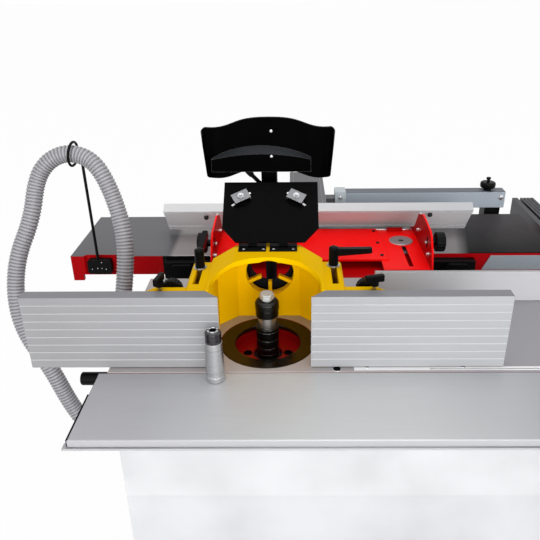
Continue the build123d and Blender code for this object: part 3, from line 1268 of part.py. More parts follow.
def infeed_table():
    """The infeed table, with a recess for the hose holder in its near skirt."""
    table = block(INFEED_END, CUTTER_X - LIP_X, PLANER_NEAR, PLANER_FAR, -PLANER_PLATE, 0)
    table = chamfer(lip_edges(table, 0), SLIDE_EDGE)
    table += block(INFEED_END, INFEED_SKIRT_END, PLANER_NEAR, PLANER_FAR, -PLANER_SKIRT, -PLANER_PLATE)
    table -= block(INFEED_END + PLANER_RIM, INFEED_SKIRT_END - PLANER_RIM, PLANER_NEAR + PLANER_RIM,
                   PLANER_FAR - PLANER_RIM, -PLANER_SKIRT, -PLANER_PLATE)
    for y in (PLANER_NEAR, PLANER_FAR - PLANER_RIM):
        table += block(INFEED_END, INFEED_END + PLANER_FOOT_W, y, y + PLANER_RIM, -PLANER_FOOT,
                       -PLANER_SKIRT)
    recess = [(RECESS_LEFT, PLANER_NEAR), (RECESS_LEFT + RECESS_DEPTH, PLANER_NEAR + RECESS_DEPTH),
              (RECESS_RIGHT - RECESS_DEPTH, PLANER_NEAR + RECESS_DEPTH), (RECESS_RIGHT, PLANER_NEAR)]
    return table - prism_z(recess, RECESS_FOOT, 0)


def outfeed_table():
    """The outfeed table, a cut's depth higher, with a grey side panel over its skirt."""
    top = CUT_DEPTH
    table = block(CUTTER_X + LIP_X, OUTFEED_END, PLANER_NEAR, PLANER_FAR, top - PLANER_PLATE, top)
    table = chamfer(lip_edges(table, top), SLIDE_EDGE)
    foot = top - PLANER_SKIRT
    table += block(OUTFEED_SKIRT_END, OUTFEED_END, PLANER_NEAR, PLANER_FAR, foot, top - PLANER_PLATE)
    table -= block(OUTFEED_SKIRT_END + PLANER_RIM, OUTFEED_END - PLANER_RIM, PLANER_NEAR + PLANER_RIM,
                   PLANER_FAR - PLANER_RIM, foot, top - PLANER_PLATE)
    height = PANEL_TOP - PANEL_FOOT
    panel = prism_y([(PANEL_LEFT, PANEL_FOOT), (OUTFEED_END, PANEL_FOOT), (OUTFEED_END, PANEL_TOP),
                     (PANEL_LEFT + height / 2, PANEL_TOP)], PLANER_NEAR - PANEL_T, PLANER_NEAR)
    return group(table, panel)


def planer_frame():
    frame = block(FRAME_LEFT, FRAME_RIGHT, FRAME_NEAR, FRAME_INNER_NEAR, CABINET_TOP, FRAME_TOP)
    frame += block(FRAME_FAR_LEFT, FRAME_FAR_RIGHT, FRAME_INNER_FAR, FRAME_FAR, CABINET_TOP,
                   FRAME_FAR_TOP)
    frame += block(FRAME_BASE_LEFT, FRAME_BASE_RIGHT, FRAME_NEAR, FRAME_FAR, CABINET_TOP,
                   CABINET_TOP + FRAME_BASE_T)
    for places, top in ((INFEED_LUGS, -PLANER_PLATE), (OUTFEED_LUGS, CUT_DEPTH - PLANER_PLATE)):
        for x in places:
            frame += block(x - LUG_W / 2, x + LUG_W / 2, FRAME_INNER_NEAR, FRAME_INNER_NEAR + LUG_REACH,
                           top - LUG_T, top)
    for x in (INFEED_LUGS[1], *OUTFEED_LUGS):
        top = -PLANER_PLATE + (CUT_DEPTH if x > CUTTER_X else 0)
        frame += block(x - LUG_W / 2, x + LUG_W / 2, FRAME_INNER_FAR - LUG_REACH, FRAME_FAR,
                       top - LUG_T, top)
    for left in (BOSS_LEFT, BOSS_RIGHT):
        right = left + BOSS_W
        foot = BOSS_TOP - BOSS_H
        frame += prism_y([(left + BOSS_CUT, BOSS_TOP), (right - BOSS_CUT, BOSS_TOP),
                          (right, BOSS_TOP - BOSS_CUT), (right, foot + BOSS_CUT), (right - BOSS_CUT, foot),
                          (left + BOSS_CUT, foot), (left, foot + BOSS_CUT), (left, BOSS_TOP - BOSS_CUT)],
                         FRAME_NEAR - BOSS_T, FRAME_NEAR)
    frame -= rod_y(CUTTER_X, FRAME_NEAR, FRAME_FAR, CUTTER_Z, CUTTER_JOURNAL_R + RUN)
    for side in (-1, 1):
        frame -= rod_y(CUTTER_X + side * ROLLER_X, FRAME_NEAR, FRAME_FAR, ROLLER_Z, ROLLER_JOURNAL_R + RUN)
    return frame - rod_z(CUTTER_X, BED_Y, CABINET_TOP, CABINET_TOP + FRAME_BASE_T, BED_COLUMN_R + RUN)


def cutter_block():
    block_body = rod_y(CUTTER_X, PLANER_NEAR, PLANER_FAR, CUTTER_Z, CUTTER_R)
    for k in range(CUTTER_KNIVES):
        groove = Pos(CUTTER_R, 0, 0) * Box(CUTTER_GROOVE, PLANER_WIDTH, CUTTER_GROOVE / 2)
        place = Pos(CUTTER_X, BED_Y, CUTTER_Z)
        block_body -= place * Rot(0, k * 360 / CUTTER_KNIVES + CUTTER_TURN, 0) * groove
    return block_body + rod_y(CUTTER_X, FRAME_NEAR, FRAME_FAR, CUTTER_Z, CUTTER_JOURNAL_R)


def feed_roller(side):
    x = CUTTER_X + side * ROLLER_X
    roller = rod_y(x, PLANER_NEAR, PLANER_FAR, ROLLER_Z, ROLLER_R)
    return roller + rod_y(x, FRAME_NEAR, FRAME_FAR, ROLLER_Z, ROLLER_JOURNAL_R)


def thickness_bed():
    bed = block(CUTTER_X - BED_LENGTH / 2, CUTTER_X + BED_LENGTH / 2, PLANER_NEAR, PLANER_FAR,
                BED_TOP - BED_T, BED_TOP)
    bed = chamfer(lip_edges(bed, BED_TOP), SLIDE_EDGE)
    return bed + rod_z(CUTTER_X, BED_Y, BED_TOP - BED_COLUMN, BED_TOP - BED_T, BED_COLUMN_R)


def planer_motor():
    far = PLANER_MOTOR_NEAR + PLANER_MOTOR_LENGTH
    motor = rod_y(CUTTER_X, PLANER_MOTOR_NEAR, far, PLANER_MOTOR_Z, PLANER_MOTOR_R)
    half = PLANER_MOTOR_FOOT / 2
    return motor + block(CUTTER_X - half, CUTTER_X + half, PLANER_MOTOR_NEAR, far,
                         CABINET_FOOT + WALL, PLANER_MOTOR_Z)


def fence_support():
    return block(CARRIAGE_LEFT + CHEEK_T + SIDE, CARRIAGE_RIGHT - CHEEK_T - SIDE, TABLE_FAR + SUPPORT_GAP,
                 FRAME_INNER_NEAR, FRAME_TOP, SUPPORT_TOP)


def cheek(x):
    """Side plate of the carriage, with an eye for the fence's pin at its far foot."""
    pin_y, pin_z = PLANER_FENCE_Y, PLANER_FENCE_Z
    toe = FENCE_BARREL_R
    plate = prism_x([(CHEEK_NEAR, CARRIAGE_Z), (CARRIAGE_NEAR, CHEEK_RISE), (pin_y, CHEEK_RISE),
                     (pin_y, pin_z + toe / 2), CHEEK_HEEL, CHEEK_TOP, CHEEK_CREST, CHEEK_SHOULDER,
                     CHEEK_BROW, CHEEK_FRONT], x, x + CHEEK_T)
    return plate + rod_x(x, x + CHEEK_T, pin_y, pin_z, toe)


def fence_carriage():
    top = CARRIAGE_Z + CARRIAGE_SHEET
    sheet = prism_z([(CARRIAGE_LEFT, CARRIAGE_NEAR), (TONGUE_LEFT, CARRIAGE_NEAR), (TONGUE_LEFT, TONGUE_NEAR),
                     (CARRIAGE_RIGHT, TONGUE_NEAR), (CARRIAGE_RIGHT, CARRIAGE_FAR),
                     (CARRIAGE_LEFT, CARRIAGE_FAR)], CARRIAGE_Z, top)
    sheet -= block(GUIDE_SLOT_X - GUIDE_SLOT_W / 2, GUIDE_SLOT_X + GUIDE_SLOT_W / 2, GUIDE_SLOT_NEAR,
                   GUIDE_SLOT_FAR, CARRIAGE_Z, top)
    sheet += prism_y([(CARRIAGE_LEFT, top), (RIDGE_RIGHT + RIDGE_SLOPE, top), (RIDGE_RIGHT, top + RIDGE_T),
                      (CARRIAGE_LEFT, top + RIDGE_T)], CARRIAGE_NEAR, CARRIAGE_FAR)
    for x in (CARRIAGE_LEFT + RUNNER_INSET, CARRIAGE_RIGHT - RUNNER_INSET - RUNNER_W):
        sheet += block(x, x + RUNNER_W, RUNNER_NEAR, RUNNER_FAR, SUPPORT_TOP, CARRIAGE_Z)
    sheet += cheek(CARRIAGE_LEFT) + cheek(CARRIAGE_RIGHT - CHEEK_T)
    sheet += rod_x(CARRIAGE_LEFT, CARRIAGE_LEFT + CHEEK_T + FENCE_BARREL, PLANER_FENCE_Y,
                   PLANER_FENCE_Z, FENCE_PIN_R)
    return sheet + rod_x(CARRIAGE_RIGHT - CHEEK_T - FENCE_BARREL, CARRIAGE_RIGHT, PLANER_FENCE_Y,
                         PLANER_FENCE_Z, FENCE_PIN_R)


def planer_fence():
    """Box profile on two barrels, drawn upright about its pins and then leaned over."""
    wall, far = PROFILE_WALL, PLANER_FENCE_T
    foot = -PLANER_FENCE_SOLE
    top = foot + PLANER_FENCE_HEIGHT
    fence = block(PLANER_FENCE_LEFT, PLANER_FENCE_RIGHT, 0, far, foot, top)
    fence = chamfer(fence.edges().filter_by(Axis.X), SLIDE_EDGE)
    fence -= block(PLANER_FENCE_LEFT, PLANER_FENCE_RIGHT, wall, far - wall, foot + wall, top - wall)
    fence -= block(PLANER_FENCE_LEFT, PLANER_FENCE_RIGHT, 0, wall / 2, top - 2 * wall, top - wall)
    web = block(PLANER_FENCE_LEFT, PLANER_FENCE_RIGHT, -FENCE_WEB_DEPTH, FENCE_WEB_DEPTH,
                foot + FENCE_FOOT_RAIL, top - FENCE_LIP)
    fence -= chamfer(web.edges().filter_by(Axis.X), FENCE_RAIL_EDGE)
    barrels = ((CARRIAGE_LEFT + CHEEK_T + EASE, CARRIAGE_LEFT + CHEEK_T + FENCE_BARREL),
               (CARRIAGE_RIGHT - CHEEK_T - FENCE_BARREL, CARRIAGE_RIGHT - CHEEK_T - EASE))
    for x in (CARRIAGE_LEFT, CARRIAGE_RIGHT - CHEEK_T):
        fence -= rod_x(x - SIDE, x + CHEEK_T + EASE, 0, 0, FENCE_NOTCH_R)
    for left, right in barrels:
        fence += rod_x(left, right, 0, 0, FENCE_BARREL_R)
        fence -= rod_x(left, right, 0, 0, FENCE_PIN_R + RUN)
    return Pos(0, PLANER_FENCE_Y, PLANER_FENCE_Z) * Rot(PLANER_FENCE_TILT, 0, 0) * fence


def tilt_knob():
    neck = rod_x(CARRIAGE_RIGHT, CARRIAGE_RIGHT + TILT_KNOB_NECK, TILT_KNOB_Y, TILT_KNOB_Z, LEVER_HUB_R)
    middle = CARRIAGE_RIGHT + TILT_KNOB_NECK + TILT_KNOB_T / 2
    place = Pos(middle, TILT_KNOB_Y, TILT_KNOB_Z) * Rot(0, 90, 0)
    return neck + place * ribbed_wheel(TILT_KNOB_R, TILT_KNOB_T, TILT_KNOB_RIBS)


def guard_post():
    right = GUARD_POST_LEFT + GUARD_POST_W
    pad_end = GUARD_PIVOT_X - GUARD_PAD_END
    post = block(GUARD_POST_LEFT, pad_end, FRAME_FAR, FRAME_FAR + GUARD_POST_T, GUARD_POST_FOOT,
                 GUARD_POST_TOP)
    ear_near = ARM_NEAR + ARM_W + SIDE
    post += block(GUARD_POST_LEFT, right, ear_near, ear_near + GUARD_EAR_T, GUARD_POST_FOOT,
                  GUARD_PIVOT_Z + GUARD_PIN_R * 2)
    return post + rod_y(GUARD_PIVOT_X, ear_near - SIDE - ARM_W / 2, ear_near, GUARD_PIVOT_Z, GUARD_PIN_R)


def guard_arm():
    """Square tube on the post's pin, with the bracket at its left end that carries the bar."""
    far = ARM_NEAR + ARM_W
    arm = block(ARM_LEFT, ARM_RIGHT, ARM_NEAR, far, GUARD_POST_TOP, ARM_TOP)
    arm = fillet(arm.edges().filter_by(Axis.X), ARM_WALL)
    arm -= block(ARM_LEFT, GUARD_POST_LEFT, ARM_NEAR + ARM_WALL, far - ARM_WALL,
                 GUARD_POST_TOP + ARM_WALL, ARM_TOP - ARM_WALL)
    arm -= rod_y(GUARD_PIVOT_X, far - ARM_W / 2 - SIDE, far, GUARD_PIVOT_Z, GUARD_PIN_R + RUN)
    y0 = ARM_NEAR + (ARM_W - BRACKET_W) / 2
    bar_right = BAR_LEFT + BAR_WIDTH
    under_bar = BAR_Z - BRACKET_T
    bracket = block(BRACKET_LEFT, bar_right, y0, y0 + BRACKET_W, under_bar, BAR_Z)
    bracket += block(bar_right - BRACKET_LAP, ARM_LEFT, y0, y0 + BRACKET_W, under_bar - BRACKET_LINK,
                     under_bar)
    return group(arm, bracket)


def arm_knob():
    """A round clamping knob with a button on top."""
    y = ARM_NEAR + ARM_W / 2
    foot = ARM_TOP + ARM_KNOB_NECK
    top = foot + ARM_KNOB_T
    knob = rod_z(ARM_KNOB_X, y, foot, top, ARM_KNOB_R)
    knob = fillet(knob.edges().filter_by(GeomType.CIRCLE), ARM_KNOB_T / 3)
    knob += rod_z(ARM_KNOB_X, y, ARM_TOP, foot + ARM_KNOB_NECK, ARM_KNOB_NECK_R)
    knob += rod_z(ARM_KNOB_X, y, foot, top + ARM_KNOB_STEM, ARM_KNOB_STEM_R)
    cap = rod_z(ARM_KNOB_X, y, top + ARM_KNOB_STEM, top + ARM_KNOB_STEM + ARM_KNOB_CAP, ARM_KNOB_CAP_R)
    return knob + fillet(cap.edges().filter_by(GeomType.CIRCLE), ARM_KNOB_CAP / 4)


def guard_bar():
    bar = block(BAR_LEFT, BAR_LEFT + BAR_WIDTH, BAR_NEAR, BAR_FAR, BAR_Z, ARM_TOP)
    bar = fillet(bar.edges().filter_by(Axis.Z).group_by(Axis.Y)[-1], BAR_EDGE)
    return bar - block(BAR_LEFT + BAR_EDGE, BAR_LEFT + BAR_WIDTH - BAR_EDGE, BAR_NEAR, BAR_FAR,
                       ARM_TOP - SLIDE_EDGE, ARM_TOP)


def wire(start, end):
    """A round wire between two points, rounded at its end."""
    run = Vector(*end) - Vector(*start)
    return extrude(Plane(Vector(*start), z_dir=run) * Circle(ROD_R), run.length) + Pos(*end) * Sphere(ROD_R)


def hose_holder():
    """The holder in the infeed table's recess, its rod and the loop round the hose."""
    back = PLANER_NEAR + RECESS_DEPTH
    holder = block(HOLDER_LEFT, HOLDER_LEFT + HOLDER_WIDTH, PLANER_NEAR - HOLDER_PROUD, back, HOLDER_FOOT,
                   HOLDER_TOP)
    holder = fillet(holder.edges().filter_by(Axis.Y), HOLDER_CORNER)
    path = hose_path()
    middle = path @ LOOP_AT
    loop_r = HOSE_R + LOOP_CLEAR + LOOP_WIRE_R
    loop = Plane(origin=middle, z_dir=path % LOOP_AT) * Torus(loop_r, LOOP_WIRE_R)
    along = path % LOOP_AT
    behind = (Vector(0, 1, 0) - along * along.Y).normalized() * (loop_r + LOOP_WIRE_R)
    crook = wire(ROD_TOP, tuple(middle + behind))
    return holder + wire(ROD_FOOT, ROD_TOP) + crook + loop


def hose_radii():
    """Each bend's radius: as large as its two runs allow."""
    points = [Vector(*p) for p in HOSE_POINTS]
    radii = []
    for before, here, after in zip(points, points[1:], points[2:]):
        arrive, leave = here - before, after - here
        turn = arrive.get_angle(leave)
        radii.append(HOSE_BEND * min(arrive.length, leave.length) / tan(radians(turn) / 2))
    return radii


def hose_path():
    return FilletPolyline(*HOSE_POINTS, radius=hose_radii())


def dust_hose():
    path = hose_path()
    start = Plane(origin=path @ 0, z_dir=path % 0)
    hose = sweep(start * Circle(HOSE_R), path)
    print("hose radii", [round(r) for r in hose_radii()])
    print("hose length", round(path.length), "volume over section times length",
          round(hose.volume / (pi * HOSE_R ** 2 * path.length), 4))
    return hose


def save(name, shape):
    export_step(Pos(-CENTRE_X, -CENTRE_Y, TABLE_HEIGHT) * shape, f"parts/{name}.step")


os.makedirs("parts", exist_ok=True)

save("base_cabinet", base_cabinet())
save("cabinet_door", cabinet_door())
save("saw_housing", saw_housing())
save("levelling_feet", levelling_feet())
save("switch_box", switch_box())
save("start_button", button(button_heights()[0]))
save("stop_button", button(button_heights()[1]))
save("spindle_handwheel", handwheel(SPINDLE_WHEEL_X, TABLE_NEAR, -1))
save("saw_handwheel", handwheel(SAW_WHEEL_X, TABLE_NEAR, -1))
save("bed_handwheel", handwheel(BED_WHEEL_X, CABINET_FAR, 1))

save("fixed_table", fixed_table())
save("table_insert", table_insert())
save("table_ring", table_ring())
save("spindle_bowl", spindle_bowl())
save("guide_columns", guide_columns())
save("quill_carriage", quill_carriage())
save("spindle_drive", spindle_drive())
save("spindle_shaft", spindle_shaft())
save("spacer_rings", spacer_rings())
save("spindle_bolt", spindle_bolt())
save("saw_carriage", saw_carriage())
save("saw_blade", saw_blade())

save("slide_rail", slide_rail())
save("sliding_table", sliding_table())
save("lock_handle", lock_handle())
save("collet_chuck", collet_chuck())

save("spindle_hood", spindle_hood())
for hand, side in (("left", -1), ("right", 1)):
    save(f"{hand}_fence_plate", fence_plate(side))
    save(f"{hand}_clamp_lever", clamp_lever(hand, side))
    save(f"{hand}_t_knob", t_knob(hand))
    save(f"{hand}_adjust_wheel", adjust_wheel(hand))
save("flap_hinges", flap_hinges())
save("hood_flap", hood_flap())
save("shield_post", shield_post())
save("guard_shield", guard_shield())

save("rip_rail", rip_rail())
save("rip_fence", rip_fence())
save("rip_lever", rip_lever())

save("planer_frame", planer_frame())
save("planer_motor", planer_motor())
save("outfeed_table", outfeed_table())
save("infeed_table", infeed_table())
save("cutter_block", cutter_block())
save("infeed_roller", feed_roller(-1))
save("outfeed_roller", feed_roller(1))
save("thickness_bed", thickness_bed())
save("fence_support", fence_support())
save("fence_carriage", fence_carriage())
save("planer_fence", planer_fence())
save("tilt_knob", tilt_knob())
save("guard_post", guard_post())
save("guard_arm", guard_arm())
save("arm_knob", arm_knob())
save("guard_bar", guard_bar())

save("hose_holder", hose_holder())
save("dust_hose", dust_hose())
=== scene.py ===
import math

import bmesh
import bpy
from mathutils import Matrix, Vector


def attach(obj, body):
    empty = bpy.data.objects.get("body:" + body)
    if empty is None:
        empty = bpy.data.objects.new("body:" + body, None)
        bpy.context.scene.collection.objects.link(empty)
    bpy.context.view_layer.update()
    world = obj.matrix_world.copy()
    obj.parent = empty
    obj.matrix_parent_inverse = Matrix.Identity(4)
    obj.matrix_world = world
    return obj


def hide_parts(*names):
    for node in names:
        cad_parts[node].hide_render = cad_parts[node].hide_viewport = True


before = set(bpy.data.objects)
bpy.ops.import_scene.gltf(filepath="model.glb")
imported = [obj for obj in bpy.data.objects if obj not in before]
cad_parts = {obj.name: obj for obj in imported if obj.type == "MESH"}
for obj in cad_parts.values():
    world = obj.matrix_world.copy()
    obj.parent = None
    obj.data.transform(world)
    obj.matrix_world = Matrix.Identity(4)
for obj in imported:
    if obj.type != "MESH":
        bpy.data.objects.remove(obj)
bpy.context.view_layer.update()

# The studio: a white room with a pale floor, brighter near the floor than overhead, and four soft lamps. The
# camera stands in front of the sliding table and looks down across the moulder to the planer behind it.

scene = bpy.context.scene
scene.view_settings.view_transform = "Standard"

CAMERA_PLACE = (-0.1106, -1.5272, 1.5963)
CAMERA_YAW, CAMERA_PITCH, CAMERA_ROLL = 0.57, 25.64, -0.50
camera = bpy.data.objects.new("camera", bpy.data.cameras.new("camera"))
camera.data.sensor_width = 36
camera.data.lens = 41.26
camera.data.shift_x = -0.0315
camera.matrix_world = (
    Matrix.Translation(CAMERA_PLACE)
    @ Matrix.Rotation(math.radians(CAMERA_YAW), 4, "Z")
    @ Matrix.Rotation(math.radians(90 - CAMERA_PITCH), 4, "X")
    @ Matrix.Rotation(math.radians(CAMERA_ROLL), 4, "Z")
)
scene.collection.objects.link(camera)
scene.camera = camera


class Amount:
    """A shader value; sums, products and comparisons of it add Math nodes."""

    def __init__(self, shading, socket):
        self.shading = shading
        self.socket = socket

    def joined(self, operation, first, second):
        return self.shading.node("ShaderNodeMath", {0: first, 1: second}, {"operation": operation})

    def __add__(self, other):
        return self.joined("ADD", self, other)

    def __sub__(self, other):
        return self.joined("SUBTRACT", self, other)

    def __rsub__(self, other):
        return self.joined("SUBTRACT", other, self)

    def __mul__(self, other):
        return self.joined("MULTIPLY", self, other)

    def __gt__(self, other):
        return self.joined("GREATER_THAN", self, other)

    def __lt__(self, other):
        return self.joined("LESS_THAN", self, other)


class Shading:
    """The nodes of one material or of the world."""

    def __init__(self, owner):
        owner.use_nodes = True
        self.owner = owner
        self.tree = owner.node_tree

    def node(self, kind, sockets=None, settings=None, out=0):
        made = self.tree.nodes.new(kind)
        for name, value in (settings or {}).items():
            setattr(made, name, value)
        for name, value in (sockets or {}).items():
            self.join(made.inputs[name], value)
        return Amount(self, made.outputs[out])

    def join(self, socket, value):
        if isinstance(value, Amount):
            self.tree.links.new(value.socket, socket)
        else:
            socket.default_value = value

    def place(self, axis):
        """Where a point lies along an axis of the part, in metres."""
        point = self.node("ShaderNodeTexCoord", out="Object")
        return self.node("ShaderNodeSeparateXYZ", {0: point}, out=axis)

    def facing(self, axis):
        """How far a face looks along an axis, from -1 to 1."""
        normal = self.node("ShaderNodeNewGeometry", out="Normal")
        return self.node("ShaderNodeSeparateXYZ", {0: normal}, out=axis)

    def seen_directly(self):
        """1 for what the camera sees, also in gloss and through glass, and 0 for light on the object."""
        seen, glossy, clear = (self.node("ShaderNodeLightPath", out=f"Is {kind} Ray")
                               for kind in ("Camera", "Glossy", "Transmission"))
        return seen + glossy + clear

    def coat(self, **values):
        """Sets sockets of the material's surface, with _ for a space in a name."""
        for name, value in values.items():
            self.join(self.tree.nodes["Principled BSDF"].inputs[name.replace("_", " ")], value)


def material(name):
    return Shading(bpy.data.materials.new(name))


def ramp(shading, value, start, end, low=0.0, high=1.0):
    """A value that climbs from low to high between start and end."""
    return shading.node("ShaderNodeMapRange", {0: value, 1: start, 2: end, 3: low, 4: high})


WHITE = (1, 1, 1, 1)
room = Shading(bpy.data.worlds.new("studio"))
scene.world = room.owner
sky_way = room.node("ShaderNodeTexCoord", out="Generated")
climb = room.node("ShaderNodeSeparateXYZ", {0: sky_way}, out="Z")
fading = ramp(room, climb, 0.0, 0.9, 0.62, 0.4)
soft_light = room.node("ShaderNodeBackground", {"Color": WHITE, "Strength": fading})
white_wall = room.node("ShaderNodeBackground", {"Color": WHITE, "Strength": 1.0})
room.join(
    room.tree.nodes["World Output"].inputs["Surface"],
    room.node("ShaderNodeMixShader", {0: room.seen_directly(), 1: soft_light, 2: white_wall}),
)

ground_sheet = bmesh.new()
bmesh.ops.create_grid(ground_sheet, x_segments=1, y_segments=1, size=40)
floor = bpy.data.objects.new("floor", bpy.data.meshes.new("floor"))
ground_sheet.to_mesh(floor.data)
ground_sheet.free()
scene.collection.objects.link(floor)
pale = material("pale_floor")
pale.coat(Base_Color=(0.86, 0.86, 0.86, 1), Roughness=0.9, Specular_IOR_Level=0.1)
glow = pale.node("ShaderNodeEmission", {"Color": WHITE, "Strength": 1.0})
lit = Amount(pale, pale.tree.nodes["Principled BSDF"].outputs[0])
pale.join(
    pale.tree.nodes["Material Output"].inputs["Surface"],
    pale.node("ShaderNodeMixShader", {0: pale.seen_directly() * 0.97, 1: lit, 2: glow}),
)
floor.data.materials.append(pale.owner)

LAMP_AIM = Vector((0, 0, 0.85))
for name, place, power, size in (
    ("key_lamp", (3.0, -6.2, 2.7), 165, 4.4),
    ("fill_lamp", (-3.4, -6.0, 2.6), 95, 4.4),
    ("front_lamp", (0.1, -6.6, 2.5), 125, 2.4),
    ("top_lamp", (0.0, -0.2, 4.4), 62, 3.0),
):
    lamp = bpy.data.objects.new(name, bpy.data.lights.new(name, "AREA"))
    lamp.data.energy = power
    lamp.data.size = size
    lamp.location = place
    lamp.rotation_euler = (LAMP_AIM - Vector(place)).to_track_quat("-Z", "Y").to_euler()
    scene.collection.objects.link(lamp)

# The dust hose: a grey corrugated plastic tube that leaves the cabinet's lower port, climbs in an arch
# through its holder on the planer and comes down to the upper port. Its ribs stand close together.

SPINDLE_X, SPINDLE_Y, TABLE_TOP = -166, -358, 860


def spot(x, y, z):
    """A place in the drawing's millimetres from the spindle's axis at the table top, in the part's metres."""
    return Vector(((x + SPINDLE_X) / 1000, (y + SPINDLE_Y) / 1000, (z + TABLE_TOP) / 1000))


def tint(red, green, blue):
    """A colour as a screen shows it, 0 to 255, in a shader's linear numbers."""
    linear = [c / 255 / 12.92 if c < 11 else ((c / 255 + 0.055) / 1.055) ** 2.4 for c in (red, green, blue)]
    return (*linear, 1)


HOSE_ROUTE = [spot(*place) for place in (
    (-366, 250, -490), (-450, 250, -490), (-535, 258, -462), (-582, 266, -385), (-625, 273, -250),
    (-678, 287, -165), (-699, 306, -67), (-689, 342, 46), (-645, 388, 147), (-634, 433, 238),
    (-601, 445, 286), (-551, 451, 309), (-495, 445, 301), (-454, 427, 268), (-418, 403, 186),
    (-393, 365, 93), (-398, 326, -13), (-423, 295, -148), (-402, 280, -225), (-395, 262, -293),
    (-395, 262, -338),
)]
hose_line = bpy.data.curves.new("hose_line", "CURVE")
hose_line.dimensions = "3D"
hose_line.resolution_u = 48
spline = hose_line.splines.new("NURBS")
spline.points.add(len(HOSE_ROUTE) - 1)
for point, place in zip(spline.points, HOSE_ROUTE):
    point.co = (*place, 1)
spline.order_u = 3
spline.use_endpoint_u = True
hose_guide = bpy.data.objects.new("hose_line", hose_line)
hose_points = [v.co.copy() for v in bpy.data.meshes.new_from_object(hose_guide).vertices]
bpy.data.objects.remove(hose_guide)

HOSE_RADIUS = 0.023
HOSE_GROOVE = 0.0203
HOSE_PITCH = 0.0089
HOSE_SIDES = 28
RIB_RINGS = ((0.0, HOSE_GROOVE, 0.0), (0.42, HOSE_RADIUS, 1.0), (0.62, HOSE_RADIUS, 1.0))


def rib_ring(number):
    """How far along the hose a ring of points lies, its radius, and 1 on a crest or 0 in a groove."""
    share, radius, crest = RIB_RINGS[number % len(RIB_RINGS)]
    return (number // len(RIB_RINGS) + share) * HOSE_PITCH, radius, crest


tube = bmesh.new()
ring = bmesh.ops.create_circle(tube, radius=1, segments=HOSE_SIDES)["verts"]
rim = list(tube.edges)
stand = Matrix.Identity(4)
side = Vector((0, 1, 0))
crests = []
walked = 0.0
for here, there in zip(hose_points, hose_points[1:]):
    run = there - here
    ring_at, radius, crest = rib_ring(len(crests))
    while walked <= ring_at < walked + run.length:
        centre = here + run * ((ring_at - walked) / run.length)
        along = run.normalized()
        side = (side - along * side.dot(along)).normalized()
        turned = Matrix((side, along.cross(side), along)).transposed().to_4x4()
        new_stand = Matrix.Translation(centre) @ turned @ Matrix.Scale(radius, 4)
        if crests:
            grown = bmesh.ops.extrude_edge_only(tube, edges=rim)["geom"]
            ring = [g for g in grown if isinstance(g, bmesh.types.BMVert)]
            fresh = set(ring)
            rim = [g for g in grown if isinstance(g, bmesh.types.BMEdge) and fresh.issuperset(g.verts)]
        bmesh.ops.transform(tube, matrix=new_stand @ stand.inverted(), verts=ring)
        stand = new_stand
        crests.append(crest)
        ring_at, radius, crest = rib_ring(len(crests))
    walked += run.length
bmesh.ops.recalc_face_normals(tube, faces=tube.faces)
hose = bpy.data.objects.new("ribbed_hose", bpy.data.meshes.new("ribbed_hose"))
tube.to_mesh(hose.data)
tube.free()
hose.data.shade_smooth()
crest_marks = hose.data.attributes.new("crest", "FLOAT", "POINT")
crest_marks.data.foreach_set("value", [c for c in crests for _ in range(HOSE_SIDES)])
scene.collection.objects.link(hose)


def speckle(shading, scale, detail=2.0, stretch=(1, 1, 1)):
    """Noise from 0 to 1 on the piece, drawn out along an axis where stretch is lower than on the others."""
    place = shading.node("ShaderNodeTexCoord", out="Object")
    stretched = shading.node("ShaderNodeMapping", {"Vector": place, "Scale": stretch})
    return shading.node("ShaderNodeTexNoise", {"Vector": stretched, "Scale": scale, "Detail": detail})


def blend(shading, share, low, high):
    """A colour between two others."""
    return shading.node("ShaderNodeMix", {0: share, 6: low, 7: high}, {"data_type": "RGBA"}, out=2)


hose_skin = material("hose_skin")
# The grooves are painted darker and the crests lighter: painted shade and highlight on the ribs.
height = hose_skin.node("ShaderNodeAttribute", None, {"attribute_name": "crest"}, out="Fac")
grime = speckle(hose_skin, 18, 3)
hose_skin.coat(
    Base_Color=blend(hose_skin, height, tint(96, 95, 99),
                     blend(hose_skin, grime, tint(146, 145, 149), tint(172, 171, 175))),
    Roughness=ramp(hose_skin, grime, 0.3, 0.7, 0.38, 0.5),
)
hose.data.materials.append(hose_skin.owner)
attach(hose, "machine")
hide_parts("dust_hose")

# Rubber cuffs at the hose's two ends, pushed over the cabinet's ports. They are turned from an outline, with
# a thick bead at each rim.


def turn(bm, outline, place, along=(0, 0, 1), sides=32):
    """Spins an outline of (radius, height) pairs in millimetres round an axis that starts at place."""
    before = set(bm.verts)
    profile = [bm.verts.new((radius / 1000, 0, level / 1000)) for radius, level in outline]
    edges = [bm.edges.new(pair) for pair in zip(profile, profile[1:])]
    bmesh.ops.spin(bm, geom=profile + edges, cent=(0, 0, 0), axis=(0, 0, 1), angle=math.tau, steps=sides,
                   use_merge=True)
    made = [v for v in bm.verts if v not in before]
    bmesh.ops.remove_doubles(bm, verts=made, dist=1e-6)
    made = [v for v in bm.verts if v not in before]
    bmesh.ops.recalc_face_normals(bm, faces=list({f for v in made for f in v.link_faces}))
    upright = Vector((0, 0, 1)).rotation_difference(Vector(along)).to_matrix().to_4x4()
    bmesh.ops.transform(bm, matrix=Matrix.Translation(place) @ upright, verts=made)


SHARP_ANGLE = math.radians(38)


def finished(name, bm, body, finish):
    """Makes a piece of a bmesh, and sets it on its body."""
    obj = bpy.data.objects.new(name, bpy.data.meshes.new(name))
    bm.to_mesh(obj.data)
    bm.free()
    obj.data.shade_smooth()
    obj.data.set_sharp_from_angle(angle=SHARP_ANGLE)
    obj.data.materials.append(finish.owner)
    scene.collection.objects.link(obj)
    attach(obj, body)


